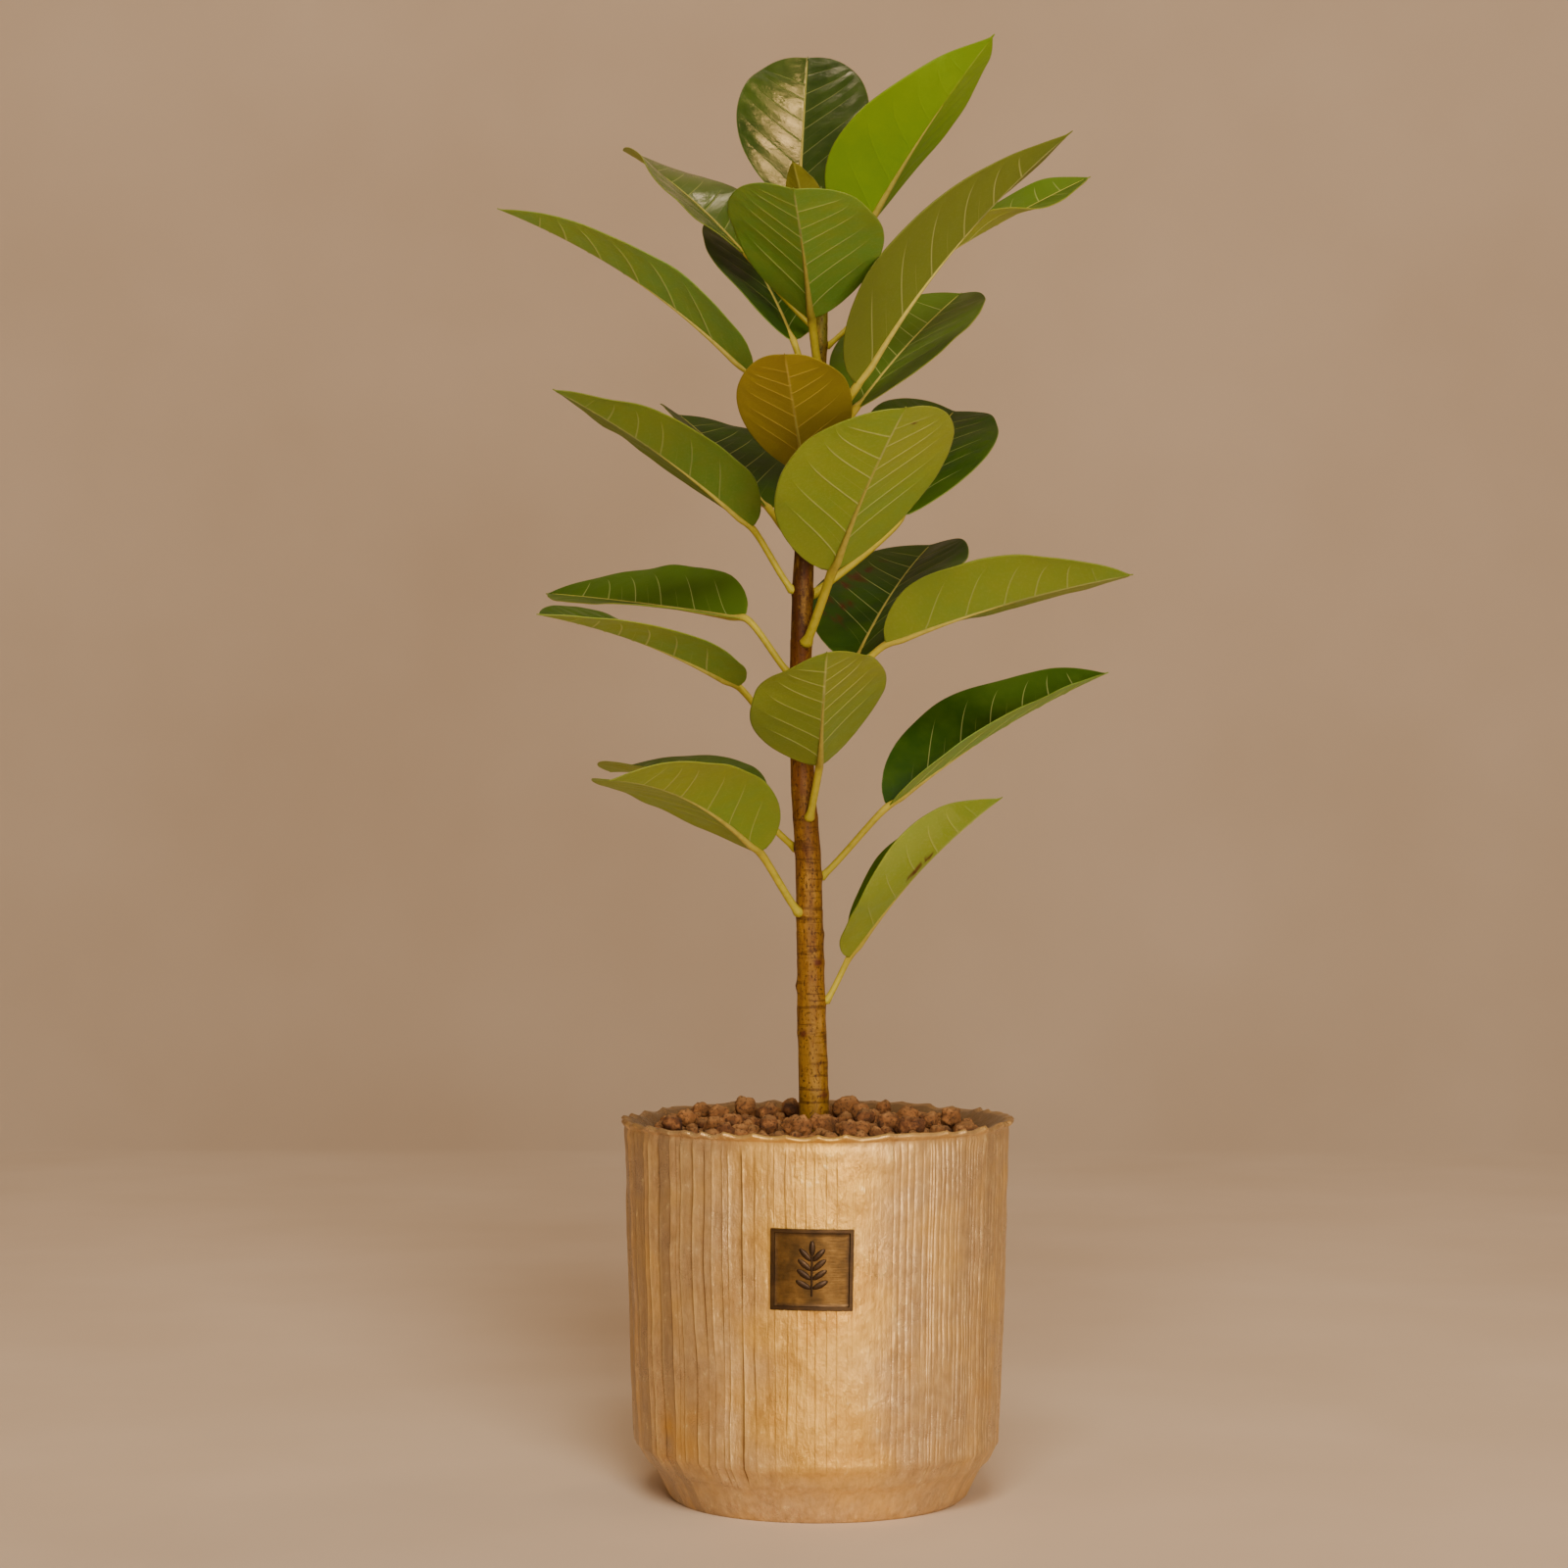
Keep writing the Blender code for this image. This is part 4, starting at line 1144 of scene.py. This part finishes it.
def leaf_rows(veins, length):
    """Rows of the blade's mesh: one along each side vein, three on each side of it, three
    half-way to the next vein, and fillers."""
    near = np.array((-3.2, -1.5, -0.75, 0, 0.75, 1.5, 3.2)) * VEIN_HALF_WIDTH / (length * VEIN_SLOPE)
    rows = [0.0005 + 0.06 * (k / 11) ** 2.2 for k in range(12)]
    rows += list(np.arange(0.08, 0.95, ROW_STEP)) + [0.965, 0.978, 0.988, 0.995, 0.9995]
    for vein in veins:
        rows += [vein + step for step in near]
    for half_veins in np.split(veins, 2):
        for vein in (half_veins[1:] + half_veins[:-1]) / 2:
            rows += [vein + step for step in near[2:5]]
    rows = np.unique(np.clip(rows, 0.0005, 0.9995))
    keep = [rows[0]]
    for value in rows[1:]:
        if value - keep[-1] > 0.0007:
            keep.append(value)
    return np.array(keep)


def to_nearest_vein(start, across, sides, length):
    """How far each row is from the nearest side vein of its half, and from the nearest finer
    vein, half-way between two of them."""
    to_vein = np.empty((len(start), len(across)))
    to_finer = np.empty_like(to_vein)
    for half_sign, veins in zip((-1, 1), sides):
        columns = across * half_sign >= 0
        finer = (veins[1:] + veins[:-1]) / 2
        for away, lines in ((to_vein, veins), (to_finer, finer)):
            nearest = np.abs(start[:, None] - lines[None, :]).min(1) * length * VEIN_SLOPE
            away[:, columns] = nearest[:, None]
    return to_vein, to_finer


def scorched(number, share, c, sign, reach, length, width):
    """Where a blade is brown: streaks along the veins of one leaf, and spots on some."""
    brown = np.zeros_like(share)
    if number == SCORCHED_LEAF:
        brown = ease(0.15, 0.55, drift(share * 30, c * 9 + 3, 31, 61))
        brown = brown * ease(0.35, 0.5, c) * (1 - ease(0.75, 0.9, c))
        brown = brown * ease(0.15, 0.3, share) * (1 - ease(0.7, 0.85, share)) * (sign < 0)
    for far, over, long, wide in SPOTS.get(number, ()):
        off = (sign * reach - over * width / 2) / (wide * MM)
        ragged = 0.5 * drift(share * 90, c * 40, 97, 62)
        spot = ((share - far) * length / (long * MM)) ** 2 + off**2 + ragged
        brown = np.maximum(brown, 1 - ease(0.5, 1.5, spot))
    return brown


def make_blade(number, row, random, taper, materials, name):
    """A flat grid whose rows follow the side veins, laid along the leaf's curve, quilted
    between the veins and given its thickness; the veins stand up from its under side."""
    length, width, fold, roll = row[6] * MM, row[7] * MM, row[9], row[10]
    _, blade, _ = leaf_lines(row)
    sides = [vein_starts(random, shift) for shift in random.permutation((0.0, 0.05))]
    start = leaf_rows(np.concatenate(sides), length)
    across = np.concatenate((-COLUMNS[:0:-1], COLUMNS))
    deselect()
    bpy.ops.mesh.primitive_grid_add(x_subdivisions=len(across) - 1, y_subdivisions=len(start) - 1, size=1)
    leaf = bpy.context.object

    # Where each point of the grid lies along and across the blade, and which way is up there.
    c = np.abs(across)[None, :]
    sign = np.sign(across)[None, :]
    lean = VEIN_LEAN * width / length * (1 - np.exp(-start / 0.022))
    lean = lean * (1 - start**2.2) * (1 - ease(0.6, 1.0, start))
    share = start[:, None] + lean[:, None] * (0.8 * c + 0.2 * c**3)
    half = half_width(share, taper) * width / 2
    reach = c * half
    bend = np.radians(fold) * (1 - FOLD_LOST * share)
    rolls = roll + TWISTS.get(number, 0) * ease(0.3, 0.85, share)
    side, up = crosswise(bezier_direction(blade, share), rolls)
    tilt = bend * sign * np.clip(reach / CREASE, 0, 1)
    normal = up * np.cos(tilt)[..., None] - side * np.sin(tilt)[..., None]

    # The folded, cupped and waving blade, before its veins.
    wave = drift(share * 4 + 3.3, sign * 3 + 5.5, 11, int(random.integers(1000)))
    ripple = drift(share * 9 + 3.3, sign * 3 + 5.5, 23, int(random.integers(1000)))
    waving = (2.2 * wave * c**1.5 + 0.9 * ripple * c**3) * MM
    waving = waving * ease(0.0, 0.2, share) * (1 - ease(0.8, 1.0, share))
    rounded = np.sqrt(reach**2 + CREASE**2) - CREASE
    rise = rounded * np.sin(bend) + CUP * reach**2 / (width / 2) + waving
    points = bezier(blade, share) + side * (sign * reach * np.cos(bend))[..., None] + up * rise[..., None]

    # The veins, from 0 to 1, and the quilting between them.
    strength = VEIN_STRENGTH.get(number, 1)
    to_vein, to_finer = to_nearest_vein(start, across, sides, length)
    fade = (1 - ease(0.55, 0.93, c)) * (ease(0.0, 0.05, start) - ease(0.80, 0.97, start))[:, None]
    vein = np.exp(-((to_vein / (VEIN_HALF_WIDTH * (1.25 - 0.5 * c))) ** 2)) * fade * strength
    finer_fade = (1 - ease(0.25, 0.62, c)) * (1 - ease(0.6, 0.8, start))[:, None] * strength
    finer_vein = 0.55 * np.exp(-((to_finer / (0.7 * VEIN_HALF_WIDTH)) ** 2)) * finer_fade
    rib_width = (0.9 * (1 - 0.75 * share) + 0.15) * MM
    rib = np.exp(-((reach / rib_width) ** 2))
    swell = (1 - np.exp(-((to_vein / (4.2 * MM)) ** 2))) * ease(0.05, 0.25, c) * (1 - ease(0.75, 1.0, c))
    swell = swell * (1 - ease(0.75, 0.95, start))[:, None]
    lift = QUILTING * swell - 0.14 * MM * vein - 0.25 * MM * rib
    top = (points + normal * lift[..., None]).reshape(-1, 3)
    set_places(leaf, top)

    uneven = 0.25 * drift(share * 3, sign * 2 + 4, 9, 51) + 0.1 * (c - 0.5)
    set_attribute(leaf, "vein", np.maximum(np.maximum(vein, finer_vein), rib * (1 - ease(0.9, 1.0, share))))
    # The margin: pale on the upper side; on the under side, painted shade against the highlight on its
    # rounded edge.
    set_attribute(leaf, "edge", 1 - ease(0.0, 0.9 * MM, half - reach))
    set_attribute(leaf, "yellow", np.clip(YELLOWING[number - 1] + uneven, 0, 1))
    set_attribute(leaf, "shaded", np.full(share.shape, SHADED.get(number, 0)))
    set_attribute(leaf, "scorch", scorched(number, share, c, sign, reach, length, width))
    for mat in materials:
        leaf.data.materials.append(mat)

    only(leaf)
    thicken = leaf.modifiers.new("flesh", "SOLIDIFY")
    thicken.thickness = LEAF_SKIN
    thicken.offset = -1
    thicken.material_offset = 1
    thicken.material_offset_rim = 1
    bpy.ops.object.modifier_apply(modifier=thicken.name)
    solid = places(leaf)
    ridge = (vein * VEIN_HEIGHT).reshape(-1, 1)
    solid[len(top) :] -= normal.reshape(-1, 3) * ridge
    set_places(leaf, solid)
    leaf.data.shade_smooth()
    leaf.name = leaf.data.name = name
    return leaf


def make_rib(row, material, name):
    """Petiole and midrib in one tapering tube, swollen where it joins the stem. It runs on
    under the blade, whose groove it fills from below."""
    stalk_length, width, roll = row[3] * MM, row[7] * MM, row[10]
    stalk, blade, outward = leaf_lines(row)
    radius = 0.44 * PETIOLE_DIAMETER * width / BLADE_WIDTH
    on_stalk = np.concatenate((np.linspace(0, 0.3, 8)[:-1], np.linspace(0.3, 1, 12)))
    on_blade = np.concatenate((np.linspace(0, 0.2, 10)[1:], np.linspace(0.2, 0.965, 26)[1:]))
    line = np.concatenate((bezier(stalk, on_stalk), bezier(blade, on_blade)))
    along = np.concatenate((bezier_direction(stalk, on_stalk), bezier_direction(blade, on_blade)))
    rolls = np.concatenate((roll * on_stalk, np.full(len(on_blade), float(roll))))
    root = stalk[0] - outward * 1.6 * MM
    line = np.concatenate((root[None], line))
    along = np.concatenate((unit(outward)[None], along))
    rolls = np.concatenate(((0.0,), rolls))
    side, up = crosswise(along, rolls)
    from_stem = np.concatenate(((0.0,), on_stalk * stalk_length))
    collar = 1 + 0.42 * np.exp(-((from_stem / (3.0 * MM)) ** 2))
    neck = 1 + 0.10 * ease(0.7, 1.0, np.concatenate(((0.0,), on_stalk)))
    thick = np.concatenate((radius * collar * neck, radius * (0.12 + 0.88 * (1 - on_blade) ** 2.7)))
    sunk = np.concatenate((np.zeros(len(on_stalk) + 1), ease(0.0, 0.07, on_blade)))
    line = line - up * (thick * 0.86 * sunk)[:, None]
    turn = np.arange(RIB_SIDES) / RIB_SIDES * math.tau
    rings = (
        line[:, None]
        + side[:, None] * (thick[:, None] * np.cos(turn))[..., None]
        + up[:, None] * (thick[:, None] * np.sin(turn))[..., None]
    )
    share = np.concatenate(((0.0,), 0.25 * on_stalk, 0.25 + 0.75 * on_blade))
    return tube(rings[:, ::-1], name, material, along=share[:, None])


def make_leaves():
    grown = (
        leaf_top("waxy_leaf_top", "#24400f", "#55701f", "#9fa85e"),
        leaf_underside("matt_leaf_underside", "#6a9238", "#919736", "#cfcc80"),
    )
    polished = (leaf_top("polished_leaf_top", "#24400f", "#55701f", "#9fa85e", (0.13, 0.24), 0.45), grown[1])
    bronze = (
        leaf_top("young_bronze_leaf_top", "#5a4c12", "#85771c", "#b8a650"),
        leaf_underside("young_bronze_leaf_underside", "#86741a", "#a09020", "#d6bc60"),
    )
    youngest = (
        leaf_top("unrolling_leaf_top", "#565a12", "#78701c", "#a8a050"),
        leaf_underside("unrolling_leaf_underside", "#66691a", "#76701c", "#a09c48"),
    )
    lime = (
        leaf_top("lime_leaf_top", "#5c8018", "#7d9c20", "#b0b85a"),
        leaf_underside("lime_leaf_underside", "#6f9a1c", "#8aac22", "#a8bc4c"),
    )
    finishes = {BRONZE_LEAF: bronze, LIME_LEAF: lime} | dict.fromkeys(POLISHED, polished)
    tapers = dict.fromkeys(ROUND_ENDED, ROUND_END) | dict.fromkeys(POINTED, POINTED_END)
    stalk = leaf_stalk()
    random = np.random.default_rng(3)
    for k, row in enumerate(LEAVES):
        number = k + 1
        newest = number == len(LEAVES)
        node = "young_leaf" if newest else f"leaf_{number:02d}"
        finish = youngest if newest else finishes.get(number, grown)
        taper = tapers.get(number, TAPERED_END)
        blade = make_blade(number, row, random, taper, finish, "blade")
        rib = make_rib(row, stalk, "rib")
        leaf = join([blade, rib], f"veined_{node}")
        finish_piece(leaf, [node])


# --- Room, light and camera --------------------------------------------------------------


BOARD_BACK = 1.8  # where the board turns up behind the plant
CAMERA_PLACE = (-0.01717, -1.908, 0.3662)


def make_room():
    """A pale board that sweeps up behind the plant."""
    deselect()
    bpy.ops.mesh.primitive_plane_add(size=1)
    board = bpy.context.object
    board.scale = (7, 4.4, 1)
    board.location = (0, BOARD_BACK - 2.2, 0)
    apply_all(board)
    bpy.ops.object.mode_set(mode="EDIT")
    mesh = bmesh.from_edit_mesh(board.data)
    for edge in mesh.edges:
        edge.select_set(all(vert.co.y > BOARD_BACK - 0.3 for vert in edge.verts))
    bmesh.update_edit_mesh(board.data)
    bpy.ops.mesh.extrude_region_move(TRANSFORM_OT_translate={"value": (0, 0, 3.2)})
    bpy.ops.mesh.select_all(action="DESELECT")
    mesh = bmesh.from_edit_mesh(board.data)
    for edge in mesh.edges:
        edge.select_set(all(abs(v.co.y - BOARD_BACK) < 0.01 and abs(v.co.z) < 0.01 for v in edge.verts))
    bmesh.update_edit_mesh(board.data)
    bpy.ops.mesh.bevel(offset=0.7, segments=24)
    bpy.ops.object.mode_set(mode="OBJECT")
    board.data.materials.append(matt_paint())
    board.data.shade_smooth()
    board.name = board.data.name = "backdrop"


def soft_light(name, place, aim, width, depth, watts, colour):
    lamp = bpy.data.lights.new(name, "AREA")
    lamp.shape = "RECTANGLE"
    lamp.size, lamp.size_y = width, depth
    lamp.energy = watts
    lamp.color = linear(colour)[:3]
    obj = bpy.data.objects.new(name, lamp)
    obj.location = place
    obj.rotation_euler = (Vector(aim) - Vector(place)).to_track_quat("-Z", "Y").to_euler()
    bpy.context.scene.collection.objects.link(obj)


def make_lights():
    soft_light("overhead_softbox", (0.34, 0.40, 1.75), (0.05, 0.1, 0.6), 0.11, 0.20, 1.9, "#ffcc80")
    soft_light("rear_softbox", (-0.17, 0.66, 1.75), (-0.05, 0.1, 0.6), 0.12, 0.12, 0.5, "#ffdfb8")
    soft_light("top_softbox", (-0.05, -1.65, 1.7), (0, 0, 0.3), 0.8, 0.5, 28, "#fff1df")
    soft_light("front_softbox", (0.45, -2.25, 0.5), (0, 0, 0.35), 0.8, 0.8, 44, "#ffeedb")
    soft_light("side_fill", (1.7, -1.2, 0.8), (0, 0, 0.35), 1.2, 1.2, 5, "#ffebd6")
    soft_light("backdrop_wash", (0, 0.95, 2.2), (0, 1.8, 1.5), 3.0, 0.3, 4.5, "#ffeccf")
    world = bpy.data.worlds.new("dim_warm_room")
    world.use_nodes = True
    background = world.node_tree.nodes["Background"]
    background.inputs["Color"].default_value = linear("#e8dccd")
    background.inputs["Strength"].default_value = 0.15
    bpy.context.scene.world = world


def make_camera():
    camera = bpy.data.cameras.new("camera")
    camera.lens = 85
    camera.sensor_width = 36
    obj = bpy.data.objects.new("camera", camera)
    obj.location = CAMERA_PLACE
    obj.rotation_euler = (math.pi / 2, 0, 0)
    bpy.context.scene.collection.objects.link(obj)
    bpy.context.scene.camera = obj


def main():
    make_camera()
    make_lights()
    make_room()
    make_pot()
    make_plaque()
    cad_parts["potting_mix"].data.materials.clear()
    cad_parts["potting_mix"].data.materials.append(potting_soil())
    make_pebbles()
    make_stem()
    make_bud()
    make_leaves()


main()
